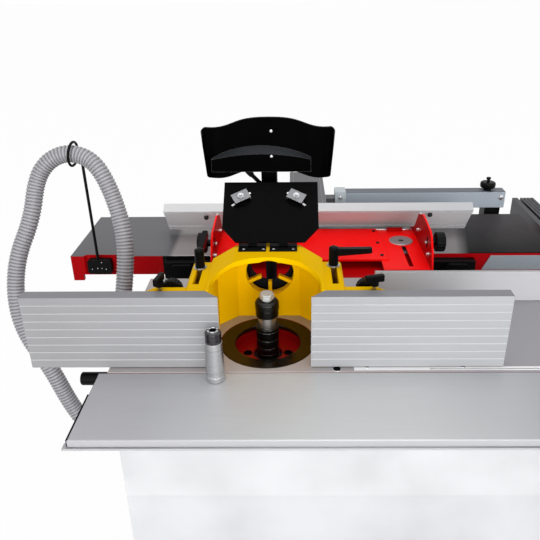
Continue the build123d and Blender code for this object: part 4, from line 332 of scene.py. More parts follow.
rubber = material("cuff_rubber")
bloom = speckle(rubber, 240, 4)
rubber.coat(
    Base_Color=blend(rubber, bloom, tint(22, 22, 23), tint(38, 38, 39)),
    Roughness=ramp(rubber, bloom, 0.3, 0.7, 0.5, 0.7),
    Normal=rubber.node("ShaderNodeBump", {"Strength": 0.15, "Distance": 0.0004, "Height": bloom}),
)
dead_black = material("dead_black")
dead_black.coat(
    Base_Color=blend(dead_black, speckle(dead_black, 90, 3), tint(1, 1, 1), tint(6, 6, 6)),
    Roughness=0.6,
    Specular_IOR_Level=0.05,
)
CUFF = [(23.2, -24), (26.0, -24), (26.6, -22), (26.6, -14), (25.4, -13), (25.4, 10), (26.6, 11), (26.6, 21),
        (25.8, 24), (23.2, 24)]
cuffs = bmesh.new()
turn(cuffs, CUFF, HOSE_ROUTE[0], (-1, 0, 0))
turn(cuffs, CUFF, spot(-395, 262, -340), (0, 0, 1))
finished("hose_cuffs", cuffs, "machine", rubber)

# The cabinet, the saw's housing above it and the door: folded sheet steel, sprayed light grey, with rounded
# folds and a faint orange peel. It stands on four feet, and a dark plinth runs round its foot.


def rounded(shading, radius):
    """Normals that round the edges a little."""
    return shading.node("ShaderNodeBevel", {"Radius": radius}, {"samples": 6})


def bumped(shading, height, strength, depth, edge):
    """Normals that follow a height and round the edges a little."""
    return shading.node("ShaderNodeBump", {"Strength": strength, "Distance": depth, "Height": height,
                                           "Normal": rounded(shading, edge)})


def edge_wear_and_highlight(shading, radius):
    """1 along the edges and 0 on the faces: rubbed edges, and on some parts a painted highlight."""
    flat = shading.node("ShaderNodeNewGeometry", out="Normal")
    meeting = shading.node("ShaderNodeVectorMath", {0: rounded(shading, radius), 1: flat},
                           {"operation": "DOT_PRODUCT"}, out="Value")
    return ramp(shading, meeting, 0.98, 0.86)


def dimmed(colour, share):
    return (*(c * share for c in colour[:3]), 1)


PAINT_EDGE = 0.0012


def sprayed(name, colour, worn_colour, gloss, peel=0.04, shine=0.4):
    """Paint on metal: orange peel, a slight drift of tone and rubbed edges."""
    paint = material(name)
    drift = speckle(paint, 5, 3)
    tone = blend(paint, ramp(paint, drift, 0.35, 0.7), colour, dimmed(colour, 0.86))
    rub = edge_wear_and_highlight(paint, PAINT_EDGE) * ramp(paint, speckle(paint, 60, 4), 0.4, 0.65)
    paint.coat(
        Base_Color=blend(paint, rub * 0.6, tone, worn_colour),
        Roughness=ramp(paint, drift, 0.3, 0.7, gloss, gloss + 0.1),
        Specular_IOR_Level=shine,
        Normal=bumped(paint, speckle(paint, 900, 2), peel, 0.0006, PAINT_EDGE),
    )
    return paint


def dress(finish, *nodes):
    """Gives CAD nodes their finish."""
    for node in nodes:
        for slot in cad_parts[node].material_slots:
            slot.material = finish.owner


cabinet_grey = sprayed("cabinet_grey", tint(209, 210, 213), tint(186, 187, 190), 0.42, 0.06, shine=0.2)
dress(cabinet_grey, "base_cabinet", "cabinet_door")
housing_white = sprayed("housing_white", tint(214, 215, 217), tint(230, 230, 231), 0.5, 0.08, shine=0.2)
dress(housing_white, "saw_housing")
dress(rubber, "levelling_feet")


def slab(bm, low, high, edge=0.0):
    """A block between two corners in drawing millimetres, its edges rounded by edge."""
    low, high = spot(*low), spot(*high)
    made = bmesh.ops.create_cube(bm, size=1)["verts"]
    bmesh.ops.scale(bm, vec=high - low, verts=made)
    bmesh.ops.translate(bm, vec=(low + high) / 2, verts=made)
    if edge:
        edges = list({e for v in made for e in v.link_edges})
        bmesh.ops.bevel(bm, geom=edges, offset=edge / 1000, segments=2, profile=0.5, affect="EDGES",
                        material=-1)


PLINTH_FOOT, PLINTH_TOP = -829, -793
plinth = bmesh.new()
for low, high in (
    ((-328, -120.5), (642, -117)),
    ((-328.5, -117), (-325, 801)),
    ((639, -117), (642.5, 801)),
    ((-328, 801), (642, 804.5)),
):
    slab(plinth, (*low, PLINTH_FOOT), (*high, PLINTH_TOP), 0.8)
finished("cabinet_plinth", plinth, "machine", rubber)

LOUVRE_ROWS = 9
louvres = bmesh.new()
for column in (-220, -40):
    for row in range(LOUVRE_ROWS):
        z = -500 - row * 16
        slab(louvres, (column, 801, z), (column + 130, 805, z + 7), 1.5)
for row in range(LOUVRE_ROWS):
    z = -700 + row * 14
    slab(louvres, (-330, 480, z), (-325, 640, z + 6), 1.5)
finished("cabinet_louvres", louvres, "machine", cabinet_grey)

black_oxide = material("black_oxide")
oxide = speckle(black_oxide, 420, 3)
black_oxide.coat(
    Base_Color=blend(black_oxide, oxide, tint(18, 18, 19), tint(42, 42, 43)),
    Metallic=0.7,
    Roughness=ramp(black_oxide, oxide, 0.3, 0.7, 0.32, 0.5),
)
bright_steel = material("bright_steel")
scuff = speckle(bright_steel, 380, 3)
bright_steel.coat(
    Base_Color=blend(bright_steel, scuff, tint(196, 196, 198), tint(224, 224, 225)),
    Metallic=1.0,
    Roughness=ramp(bright_steel, scuff, 0.3, 0.7, 0.2, 0.34),
)


def scaled(outline, radius, height):
    return [(r * radius, h * height) for r, h in outline]


SOCKET_SCREW = [(0, 0.45), (0.5, 0.45), (0.52, 1), (0.82, 1), (1, 0.78), (1, 0), (0, 0)]
HEX_WASHER = [(0, 0), (1.45, 0), (1.45, 0.18), (1, 0.2)]
HEX_HEAD = [(0, 0.15), (1.08, 0.15), (1.08, 0.86), (0.86, 1), (0, 1)]
DOME_HEAD = [(0, 0.5), (0.35, 0.55), (0.4, 1), (0.7, 0.85), (0.92, 0.5), (1, 0), (0, 0)]


def socket_screw(bm, place, along, radius, height):
    """A round-headed screw with a hexagon socket."""
    turn(bm, scaled(SOCKET_SCREW, radius, height), place, along, 24)


def hex_head(bm, place, along, radius, height):
    """A hexagon head on its washer."""
    turn(bm, scaled(HEX_WASHER, radius, height), place, along, 24)
    turn(bm, scaled(HEX_HEAD, radius, height), place, along, 6)


def dome_head(bm, place, along, radius, height):
    """A domed screw head with a round recess."""
    turn(bm, scaled(DOME_HEAD, radius, height), place, along, 24)


panel_screws = bmesh.new()
for x in (-300, -10, 200, 450, 614):
    for z in (-775, -540):
        dome_head(panel_screws, spot(x, -118, z), (0, -1, 0), 5, 2.5)
for y in (-90, 150, 420, 610, 776):
    for z in (-775, -362):
        dome_head(panel_screws, spot(-326, y, z), (-1, 0, 0), 5, 2.5)
finished("panel_screws", panel_screws, "machine", bright_steel)

FOOT_NUT = [(17.6, -845), (26, -845), (26, -836), (24, -834), (17.6, -834)]
foot_nuts = bmesh.new()
for x in (-266, 580):
    for y in (-58, 742):
        turn(foot_nuts, FOOT_NUT, spot(x, y, 0), sides=6)
finished("foot_nuts", foot_nuts, "machine", bright_steel)

# Handwheels for the spindle, the saw and the thickness bed, on shafts through the cabinet's walls: black
# moulded plastic with a fine pebble from its mould, and a bright cap over the hub.

PLASTIC_EDGE = 0.0008


def moulded(name, colour, roughness, pebble=0.08, shine=0.22):
    """Moulded plastic with a fine pebble and slightly polished edges."""
    plastic = material(name)
    smudge = speckle(plastic, 30, 3)
    lighter = (*(min(1, c * 1.5 + 0.003) for c in colour[:3]), 1)
    rub = edge_wear_and_highlight(plastic, PLASTIC_EDGE) * ramp(plastic, smudge, 0.35, 0.6)
    plastic.coat(
        Base_Color=blend(plastic, rub * 0.5, blend(plastic, smudge * 0.35, colour, lighter), lighter),
        Roughness=ramp(plastic, smudge, 0.3, 0.7, roughness, roughness + 0.12),
        Specular_IOR_Level=shine,
        Normal=bumped(plastic, speckle(plastic, 1400, 2), pebble, 0.0004, PLASTIC_EDGE),
    )
    return plastic


black_knob = moulded("black_knob", tint(6, 6, 7), 0.3, shine=0.08)
dress(black_knob, "spindle_handwheel", "saw_handwheel", "bed_handwheel")
WHEEL_CAP = [(0, 0), (15, 0), (15, 1.5), (13, 3), (5, 3.6), (4.6, 2.6), (0, 2.6)]
WHEEL_Z = -600
for name, body, x, y, along in (
    ("spindle_wheel_cap", "spindle_handwheel", -120, -146, (0, -1, 0)),
    ("saw_wheel_cap", "saw_handwheel", 330, -146, (0, -1, 0)),
    ("bed_wheel_cap", "bed_handwheel", 250, 830, (0, 1, 0)),
):
    cap = bmesh.new()
    turn(cap, WHEEL_CAP, spot(x, y, WHEEL_Z), along)
    finished(name, cap, body, bright_steel)

# The switch box, fixed to the right wall: dark plastic with a raised rim round each button, a green one to
# start and a red one to stop.

dress(moulded("switch_plastic", tint(44, 45, 47), 0.5, 0.16), "switch_box")
dress(moulded("start_green", tint(20, 130, 52), 0.28, 0.03), "start_button")
dress(moulded("stop_red", tint(205, 22, 20), 0.28, 0.03), "stop_button")
BUTTON_RIM = [(15.6, 0), (15.6, 4), (16.4, 5), (18.6, 5), (20, 3.4), (20, 0)]
rims = bmesh.new()
for z in (-140, -190):
    turn(rims, BUTTON_RIM, spot(685, -20, z), (1, 0, 0))
finished("button_rims", rims, "machine", black_knob)

# The fixed table: grey cast iron on top of the cabinet. Its top is ground bright, with fine marks along the
# saw cut, and its skirt is painted red. Screws hold the strip beside the saw slot.

GRIND_MARKS = (1.5, 260, 260)
IRON_EDGE = 0.0012


def up_facing(shading, above):
    """1 on faces that look up and lie above a height in drawing millimetres."""
    return (shading.facing("Z") > 0.5) * (shading.place("Z") > (above + TABLE_TOP) / 1000)


def ground_top(name, dark, light, above, gloss, skirt, metal=0.75, right=None):
    """Cast iron with a ground top and a painted skirt."""
    iron = material(name)
    top = up_facing(iron, above)
    scratches = speckle(iron, 4, 4, GRIND_MARKS)
    clouds = speckle(iron, 3.2, 3)
    tone = blend(iron, clouds * 0.55 + scratches * 0.45, dark, light)
    if right:
        tone = blend(iron, ramp(iron, iron.place("X"), -0.1, 0.3) * 0.8, tone, right)
    paint = blend(iron, speckle(iron, 6, 3), skirt, dimmed(skirt, 0.75))
    iron.coat(
        Base_Color=blend(iron, top, paint, tone),
        Metallic=top * metal,
        Roughness=ramp(iron, clouds * 0.6 + scratches * 0.4, 0.3, 0.7, gloss, gloss + 0.12),
        Specular_IOR_Level=0.06,
        Normal=bumped(iron, scratches, 0.05, 0.0003, IRON_EDGE),
    )
    return iron


table_iron = ground_top("table_iron", tint(164, 158, 157), tint(180, 175, 175), -3, 0.42, tint(180, 8, 12),
                        metal=0.35, right=tint(146, 146, 151))
dress(table_iron, "fixed_table")


def drawn(name, dark, light, roughness, stretch, edge=0.0006, metal=0.9, rubbed=tint(236, 236, 237),
          top_shade=0.0):
    """Aluminium or steel, marked along one way as it is drawn or turned; its top may get painted shade."""
    bar = material(name)
    lines = speckle(bar, 6, 4, stretch)
    face = blend(bar, lines * 0.6 + speckle(bar, 4, 2) * 0.4, dark, light)
    # Tops darker by top_shade: painted shade.
    face = blend(bar, up_facing(bar, -100) * top_shade, face, tint(60, 60, 62))
    bar.coat(
        Base_Color=blend(bar, edge_wear_and_highlight(bar, edge) * 0.5, face, rubbed),
        Metallic=metal,
        Roughness=ramp(bar, lines, 0.25, 0.75, roughness, roughness + 0.12),
        Normal=bumped(bar, lines, 0.06, 0.0002, edge),
    )
    return bar


insert_aluminium = drawn("insert_aluminium", tint(232, 232, 233), tint(244, 244, 245), 0.4, (1, 200, 200),
                         metal=0.1)
dress(insert_aluminium, "table_insert")
table_screws = bmesh.new()
screw_rims = bmesh.new()
for x, y, size in ((146, -107.5, 8), (208.6, -97.4, 5.6), (406.5, -97.4, 5.6)):
    turn(table_screws, [(0, 0.1), (size - 4, 0.1), (size - 3.5, 0.6), (size - 0.6, 0.6), (size, 0.05),
                        (size, -2), (0, -2)], spot(x, y, 0), sides=20)
    turn(screw_rims, [(size - 0.1, 0), (size - 0.1, 0.5), (size + 0.8, 0.4), (size + 1, 0)],
         spot(x, y, 0), sides=20)
finished("table_screws", table_screws, "machine", dead_black)
finished("table_screw_rims", screw_rims, "machine", bright_steel)

# The ring in the table and the bowl under it. The ring is blackened steel, polished so that it mirrors the
# spindle; the bowl is painted red inside, with two sunk bolts in its floor.

ring_black = material("ring_black")
swirl = speckle(ring_black, 40, 3)
ring_black.coat(
    Base_Color=blend(ring_black, swirl, tint(38, 33, 27), tint(56, 49, 40)),
    Metallic=0.85,
    Roughness=ramp(ring_black, swirl, 0.3, 0.7, 0.14, 0.24),
    Normal=rounded(ring_black, 0.001),
)
dress(ring_black, "table_ring")
dress(sprayed("bowl_red", tint(140, 4, 8), tint(160, 24, 24), 0.35, shine=0.2), "spindle_bowl")
bowl_bolts = bmesh.new()
for x in (-45, 45):
    socket_screw(bowl_bolts, spot(x, 0, -38), (0, 0, 1), 11.5, 9)
finished("bowl_bolts", bowl_bolts, "machine", dead_black)

# The moulder spindle: a ground shaft with blackened spacer rings, one bright ring among them, a black collar
# and a bright hexagon bolt. Below the table it turns in a quill on steel columns, beside the saw's carriage.

BRIGHT_RING_FOOT, BRIGHT_RING_TOP, BOLT_HEAD_FOOT = 0.9016, 0.9279, 0.9651
spacers = material("spacer_black")
bright = (spacers.place("Z") > BRIGHT_RING_FOOT) * (spacers.place("Z") < BRIGHT_RING_TOP)
turning = speckle(spacers, 8, 3, (1, 1, 120))
black_ring = blend(spacers, turning, tint(20, 20, 21), tint(36, 35, 34))
steel_ring = blend(spacers, turning, tint(150, 148, 145), tint(172, 170, 166))
rings = blend(spacers, bright, black_ring, steel_ring)
spacers.coat(
    Base_Color=blend(spacers, edge_wear_and_highlight(spacers, 0.0005) * 0.8, rings, tint(190, 190, 188)),
    Metallic=0.9,
    Roughness=ramp(spacers, turning, 0.3, 0.7, 0.24, 0.34) - bright * 0.14,
    Normal=rounded(spacers, 0.0004),
)
dress(spacers, "spacer_rings")
shaft_steel = drawn("shaft_steel", tint(120, 119, 117), tint(160, 158, 155), 0.22, (1, 1, 120))
dress(shaft_steel, "spindle_shaft")
bolt = material("bolt_and_collar")
head = bolt.place("Z") > BOLT_HEAD_FOOT
patina = speckle(bolt, 160, 3)
bolt.coat(
    Base_Color=blend(bolt, head, blend(bolt, patina, tint(30, 30, 30), tint(52, 51, 50)),
                     blend(bolt, patina, tint(176, 178, 178), tint(206, 208, 206))),
    Metallic=0.95 - head * 0.5,
    Roughness=ramp(bolt, patina, 0.3, 0.7, 0.24, 0.38),
    Normal=rounded(bolt, 0.0008),
)
dress(bolt, "spindle_bolt")
rough_iron = sprayed("rough_iron", tint(30, 30, 31), tint(60, 60, 60), 0.6, 0.3, shine=0.1)
dress(rough_iron, "quill_carriage", "saw_carriage")
motor_grey = sprayed("motor_grey", tint(70, 74, 78), tint(110, 112, 114), 0.4, 0.1)
dress(motor_grey, "spindle_drive", "planer_motor")
column_steel = drawn("column_steel", tint(150, 150, 152), tint(190, 190, 192), 0.2, (1, 1, 80))
dress(column_steel, "guide_columns")
blade_steel = drawn("blade_steel", tint(176, 177, 180), tint(206, 206, 209), 0.28, (120, 1, 120))
dress(blade_steel, "saw_blade")

# The sliding table: an anodised aluminium extrusion that runs on a dark steel rail, with a black lock handle
# at the left end of the machine. A steel collet chuck stands on it.

slide = material("slide_aluminium")
across = slide.place("X")
end_face = slide.facing("X") < -0.7
lines = speckle(slide, 6, 4, (1, 180, 180))
# The top's tone is a painted reflection: lighter in the middle and darker towards the right end.
left_part = blend(slide, lines, tint(160, 160, 164), tint(178, 178, 182))
right_part = blend(slide, lines, tint(132, 135, 139), tint(152, 155, 159))
highlight_middle = blend(slide, lines, tint(180, 182, 183), tint(198, 200, 201))
highlight_band = ramp(slide, across, -0.4, -0.1) * ramp(slide, across, 0.45, 0.1)
aluminium_with_reflection = blend(slide, ramp(slide, across, 0.1, 0.5), left_part, right_part)
aluminium_with_reflection = blend(slide, highlight_band, aluminium_with_reflection, highlight_middle)
aluminium_with_reflection = blend(slide, up_facing(slide, -100), tint(186, 186, 189), aluminium_with_reflection)
aluminium_with_reflection = blend(slide, edge_wear_and_highlight(slide, 0.0009) * 0.5, aluminium_with_reflection, tint(236, 236, 237))
slide.coat(
    Base_Color=blend(slide, end_face, aluminium_with_reflection, tint(36, 36, 38)),
    Metallic=0.4,
    Roughness=ramp(slide, lines, 0.25, 0.75, 0.42, 0.54),
    Normal=bumped(slide, lines, 0.06, 0.0002, 0.0009),
)
dress(slide, "sliding_table")
slide_cap = bmesh.new()
slab(slide_cap, (-345.5, -322, -15.5), (-342.6, -190, -0.2), 0.5)
finished("slide_end_cap", slide_cap, "sliding_table", black_knob)
dress(sprayed("rail_dark", tint(52, 53, 55), tint(120, 120, 122), 0.4), "slide_rail")
dress(black_knob, "lock_handle")

CHUCK_X, CHUCK_Y, CHUCK_NUT_FOOT = -100, -140, 0.9481
COLLET = [(7.3, 112.5), (7.3, 114.5), (8, 114.9), (10.8, 114.9), (11.4, 114.4), (11.4, 112.5)]
COLLET_SLITS = 6
chuck = material("chuck_steel")
nut = chuck.place("Z") > CHUCK_NUT_FOOT
turning = speckle(chuck, 9, 3, (1, 1, 140))
chuck.coat(
    Base_Color=blend(chuck, nut, blend(chuck, turning, tint(176, 176, 177), tint(214, 214, 215)),
                     blend(chuck, turning, tint(62, 60, 62), tint(94, 91, 94))),
    Metallic=0.95,
    Roughness=ramp(chuck, turning, 0.3, 0.7, 0.24, 0.38),
    Normal=rounded(chuck, 0.0008),
)
dress(chuck, "collet_chuck")
collet = bmesh.new()
turn(collet, COLLET, spot(CHUCK_X, CHUCK_Y, 0))
finished("collet_face", collet, "collet_chuck", bright_steel)
# Dead-black boxes in the collet's slits: painted shade.
collet_slit_shade = bmesh.new()
for step in range(COLLET_SLITS):
    swing = Matrix.Rotation(step * math.tau / COLLET_SLITS, 3, "Z")
    slit = bmesh.ops.create_cube(collet_slit_shade, size=1)["verts"]
    bmesh.ops.scale(collet_slit_shade, vec=(0.0046, 0.0016, 0.0006), verts=slit)
    bmesh.ops.translate(collet_slit_shade, vec=(0.0095, 0, 0), verts=slit)
    bmesh.ops.rotate(collet_slit_shade, cent=(0, 0, 0), matrix=swing, verts=slit)
    bmesh.ops.translate(collet_slit_shade, vec=spot(CHUCK_X, CHUCK_Y, 114.8), verts=slit)
finished("collet_slit_shade", collet_slit_shade, "collet_chuck", dead_black)

# The spindle hood: a yellow iron casting that slides on the table, with a round outlet at the back, slotted
# ears at both sides and wings for the fence plates. Its paint is thick over slightly rough iron.

hood = material("hood_yellow")
casting = speckle(hood, 26, 4)
grain = speckle(hood, 520, 3)
drift = ramp(hood, speckle(hood, 5, 3), 0.35, 0.7)
# The roof is painted darker than the walls, as painted shade, and the edges lighter, as a painted highlight.
walls = blend(hood, drift, tint(252, 200, 0), tint(242, 190, 0))
shaded_roof = blend(hood, drift, tint(226, 178, 0), tint(216, 168, 0))
painted = blend(hood, up_facing(hood, 90), walls, shaded_roof)
hood.coat(
    Base_Color=blend(hood, edge_wear_and_highlight(hood, 0.003) * 0.4, painted, tint(252, 208, 0)),
    Roughness=ramp(hood, casting, 0.3, 0.7, 0.42, 0.56),
    Specular_IOR_Level=0.02,
    Normal=bumped(hood, grain * 0.6 + casting * 0.4, 0.14, 0.0007, 0.003),
)
dress(hood, "spindle_hood")
hinge_black = sprayed("hinge_black", tint(9, 9, 10), tint(36, 36, 38), 0.36, 0.05, shine=0.08)
dress(hinge_black, "flap_hinges")
hinge_screws = bmesh.new()
for x in (-54, -10, 13, 57):
    dome_head(hinge_screws, spot(x, 105.5, 177.4), (0, 0, 1), 4.2, 0.5)
finished("hinge_screws", hinge_screws, "hood", bright_steel)
# Thin black pads under the hinges: painted shade over the gaps between the hinges and the roof.
hinge_gap_shade = bmesh.new()
for left in (-66, 4):
    slab(hinge_gap_shade, (left, 96, 174.8), (left + 62, 124, 175.7))
finished("hinge_gap_shade", hinge_gap_shade, "hood", hinge_black)
# A dead-black sleeve inside the outlet: painted shade for the outlet's dark inside.
OUTLET_LINER = [(54.8, 0), (52.5, 0), (51, 2), (51, 52), (53, 52), (53, 28), (54.8, 28)]
outlet_shade_liner = bmesh.new()
turn(outlet_shade_liner, OUTLET_LINER, spot(3, 137, 112), (0, 1, 0), 48)
finished("outlet_shade_liner", outlet_shade_liner, "hood", dead_black)

# The fence plates: ribbed aluminium extrusions, anodised silver, that slide along the hood's wings. Their
# grooves run along the feed and are lighter inside, and their tops carry painted shade, darker than their
# faces.

GROOVE_FRONT, GROOVE_BACK = -0.4596, -0.458
plates = material("fence_silver")
in_groove = (plates.place("Y") > GROOVE_FRONT) * (plates.place("Y") < GROOVE_BACK)
lines = speckle(plates, 6, 4, (1, 140, 140))
mottle = lines * 0.5 + speckle(plates, 3, 2, (1, 3, 3)) * 0.5
left_part = blend(plates, mottle, tint(136, 136, 138), tint(162, 162, 164))
right_part = blend(plates, mottle, tint(164, 165, 168), tint(188, 189, 192))
face = blend(plates, ramp(plates, plates.place("X"), -0.6, 0.2), left_part, right_part)
face = blend(plates, in_groove * 0.5, face, tint(236, 237, 239))
plates.coat(
    # Tops painted darker than the faces: painted shade.
    Base_Color=blend(plates, up_facing(plates, 160), face, tint(124, 124, 128)),
    Metallic=0.15,
    Roughness=ramp(plates, lines, 0.25, 0.75, 0.42, 0.55),
    Specular_IOR_Level=0.3,
    Normal=rounded(plates, 0.0008),
)
dress(plates, "left_fence_plate", "right_fence_plate")

# Clamp levers on studs and washers, T-knobs and ribbed adjusting wheels, all on the hood: black moulded
# plastic on bright steel. A socket screw is sunk in the top of each lever.

PLASTIC_FOOT = 1.0256
levers = material("lever_black")
plastic_part = levers.place("Z") > PLASTIC_FOOT
smudge = speckle(levers, 60, 3)
steel = blend(levers, smudge, tint(150, 150, 152), tint(190, 190, 191))
plastic = blend(levers, smudge, tint(5, 5, 6), tint(12, 12, 12))
levers.coat(
    Base_Color=blend(levers, plastic_part, steel, plastic),
    Metallic=1 - plastic_part,
    Specular_IOR_Level=0.05,
    Roughness=ramp(levers, smudge, 0.3, 0.7, 0.26, 0.4),
    Normal=rounded(levers, 0.0012),
)
dress(levers, "left_clamp_lever", "right_clamp_lever", "left_t_knob", "right_t_knob")
dress(black_knob, "left_adjust_wheel", "right_adjust_wheel")
for name, body, x, y in (
    ("left_lever_screw", "left_clamp_lever", -144, 38),
    ("right_lever_screw", "right_clamp_lever", 144, 47),
):
    lever_screw = bmesh.new()
    socket_screw(lever_screw, spot(x, y, 206.5), (0, 0, 1), 5, 3)
    finished(name, lever_screw, body, black_oxide)

# The flap behind the spindle: black sheet steel on two hinges on the hood's roof, with a bent bright strap
# bolted through each of its two slots.

FLAP_LEAN = math.radians(37)
STRAP_LIFT, STRAP_BOLT_LIFT = 0.0056, 0.0143
flap = material("flap_black")
hinge_frame = flap.node(
    "ShaderNodeMapping",
    {"Vector": flap.node("ShaderNodeTexCoord", out="Object"), "Location": spot(5, 118, 181),
     "Rotation": (FLAP_LEAN, 0, 0)},
    {"vector_type": "TEXTURE"},
)
above_hinge = flap.node("ShaderNodeSeparateXYZ", {0: hinge_frame}, out="Y") > 0.05
lift = flap.node("ShaderNodeSeparateXYZ", {0: hinge_frame}, out="Z")
proud = (lift > STRAP_LIFT) * above_hinge
bolted = (lift > STRAP_BOLT_LIFT) * above_hinge
dust = speckle(flap, 45, 4)
sheet = blend(flap, dust, tint(2, 2, 3), tint(5, 5, 6))
strap = blend(flap, dust, tint(88, 89, 92), tint(130, 131, 134))
strap = blend(flap, edge_wear_and_highlight(flap, 0.0008), strap, tint(214, 214, 215))
strap_bolt = blend(flap, dust, tint(150, 151, 153), tint(190, 191, 193))
flap.coat(
    Base_Color=blend(flap, proud, sheet, blend(flap, bolted, strap, strap_bolt)),
    Metallic=proud * 0.6,
    Specular_IOR_Level=0.02,
    Roughness=ramp(flap, dust, 0.3, 0.7, 0.3, 0.46),
    Normal=rounded(flap, 0.0008),
)
dress(flap, "hood_flap")

# The guard shield: a sheet of black plastic bent forward at both ends, with a moulded visor across it. It is
# screwed to a sleeve that slides on a black post, and a small handle clamps it there.

shield = material("shield_gloss")
haze = speckle(shield, 14, 3)
# Lighter edges and a lighter grey visor top: a painted highlight and sheen on the black plastic.
black_with_edge_highlight = blend(shield, edge_wear_and_highlight(shield, 0.0014) * 0.7, tint(1, 1, 1), tint(120, 120, 124))
visor_top_sheen = blend(shield, haze, tint(34, 35, 38), tint(50, 51, 55))
shield.coat(
    Base_Color=blend(shield, up_facing(shield, 318), black_with_edge_highlight, visor_top_sheen),
    Roughness=ramp(shield, haze, 0.3, 0.7, 0.2, 0.34),
    Specular_IOR_Level=0.02,
    Normal=rounded(shield, 0.001),
)
dress(shield, "guard_shield")
dress(hinge_black, "shield_post")
shield_screws = bmesh.new()
dome_head(shield_screws, spot(6.6, 272, 404), (0, -1, 0), 4.5, 3)
dome_head(shield_screws, spot(7.3, 252, 349), (0, -1, 0), 4, 2.5)
finished("shield_screws", shield_screws, "guard_shield", bright_steel)
CLAMP_HANDLE = [(0, 0), (8, 0), (8, 10), (5, 13), (5, 40), (7, 44), (7, 58), (5, 62), (0, 62)]
post_clamp = bmesh.new()
turn(post_clamp, CLAMP_HANDLE, spot(-16, 299, 262), (-0.62, -0.25, 0.74), 20)
finished("post_clamp_handle", post_clamp, "machine", black_knob)

# The hose's holder: a black block in a recess of the infeed table, with a rod and a ring round the hose.
# Small bright screws are set in its face.

dress(hinge_black, "hose_holder")
holder_screws = bmesh.new()
for x, z in ((-528, -38.4), (-512, -35.5), (-499.5, -35.5), (-487.5, -38.4), (-498.5, -17.3)):
    dome_head(holder_screws, spot(x, 455, z), (0, -1, 0), 1.7, 1)
finished("holder_screws", holder_screws, "infeed", bright_steel)

# The rip fence and its guide rail: aluminium extrusions, the fence silver and the rail anodised dark grey.
# The rail is fixed to the table's right end, and a black lever locks the fence's carriage on it.

rip_silver = drawn("rip_silver", tint(190, 190, 193), tint(206, 206, 209), 0.46, (1, 160, 160), 0.0009, 0.2,
                   top_shade=0.5)
dress(rip_silver, "rip_fence")
rip_rail_dark = drawn("rip_rail_dark", tint(50, 49, 54), tint(72, 71, 77), 0.45, (160, 1, 160), 0.0008, 0.5,
                      tint(120, 120, 124))
dress(rip_rail_dark, "rip_rail")
dress(black_knob, "rip_lever")

# The planer's frame between its tables: black painted plates that carry the steel cutter block and two feed
# rollers, with the cast thickness bed on its column below them.

frame_black = sprayed("frame_black", tint(9, 9, 10), tint(40, 40, 42), 0.42, 0.2, shine=0.08)
dress(frame_black, "planer_frame")
cutter_steel = drawn("cutter_steel", tint(128, 128, 130), tint(168, 168, 170), 0.3, (160, 1, 160))
dress(cutter_steel, "cutter_block")
roller_steel = drawn("roller_steel", tint(110, 110, 112), tint(150, 150, 152), 0.36, (160, 1, 160))
dress(roller_steel, "infeed_roller", "outfeed_roller")
bed_iron = ground_top("bed_iron", tint(150, 150, 151), tint(178, 178, 179), -262, 0.32, tint(58, 59, 61))
dress(bed_iron, "thickness_bed")

# The planer tables, carried by the frame: ground cast iron with red skirts. Both tops carry a painted
# reflection of the planer fence: dark away from it and lighter beside it. The infeed's skirt is painted
# black as shade where the frame is, and its end face is painted darker as shade. The outfeed table, on the
# right, has a blue-grey side panel.

INFEED_REFLECTION_FROM, INFEED_REFLECTION_TO, INFEED_FRAME_SHADE_X = -0.47, -0.455, -0.488
infeed = material("infeed_iron")
top = up_facing(infeed, -3)
across = infeed.place("X")
scratches = speckle(infeed, 4, 4, GRIND_MARKS)
clouds = speckle(infeed, 3.2, 3)
ground = blend(infeed, clouds * 0.5 + scratches * 0.5, tint(92, 91, 94), tint(110, 109, 112))
# Lighter beside the fence: a painted reflection of it.
ground = blend(infeed, ramp(infeed, across, INFEED_REFLECTION_FROM, INFEED_REFLECTION_TO), ground, tint(160, 154, 154))
skirt = blend(infeed, clouds, tint(184, 2, 10), tint(150, 2, 8))
# The end face is painted darker and the skirt black where the frame is: painted shade.
skirt = blend(infeed, infeed.facing("X") < -0.7, skirt, tint(128, 1, 7))
skirt = blend(infeed, across > INFEED_FRAME_SHADE_X, skirt, tint(12, 12, 13))
infeed.coat(
    Base_Color=blend(infeed, top, skirt, ground),
    Metallic=top * 0.4,
    Roughness=ramp(infeed, clouds * 0.6 + scratches * 0.4, 0.3, 0.7, 0.34, 0.46),
    Specular_IOR_Level=0.06,
    Normal=bumped(infeed, scratches, 0.05, 0.0003, IRON_EDGE),
)
dress(infeed, "infeed_table")

OUTFEED_PANEL_BACK = 0.1066
outfeed = material("outfeed_iron")
top = up_facing(outfeed, -2)
across, depth = outfeed.place("X"), outfeed.place("Y")
scratches = speckle(outfeed, 4, 4, GRIND_MARKS)
clouds = speckle(outfeed, 5, 3)
panel = (depth < OUTFEED_PANEL_BACK) * (1 - top)
skirt = blend(outfeed, clouds, tint(196, 8, 18), tint(160, 6, 14))
skirt = blend(outfeed, panel, skirt, blend(outfeed, clouds, tint(148, 158, 166), tint(166, 175, 183)))
# The top is a painted reflection: nearly black at the front, greyer behind and lighter beside the fence.
near_dark_reflection = blend(outfeed, scratches, tint(2, 0, 0), tint(5, 2, 2))
ground = blend(outfeed, ramp(outfeed, depth, 0.11, 0.42), near_dark_reflection, tint(66, 63, 65))
fence_reflection = ramp(outfeed, across - depth * 0.2, 0.34, 0.378, 0.85, 0.0)
ground = blend(outfeed, fence_reflection, ground, tint(140, 138, 139))
outfeed.coat(
    Base_Color=blend(outfeed, top, skirt, ground),
    Roughness=ramp(outfeed, clouds, 0.3, 0.7, 0.36, 0.5),
    Normal=bumped(outfeed, scratches, 0.05, 0.0003, IRON_EDGE),
    Specular_IOR_Level=0.04,
)
dress(outfeed, "outfeed_table")

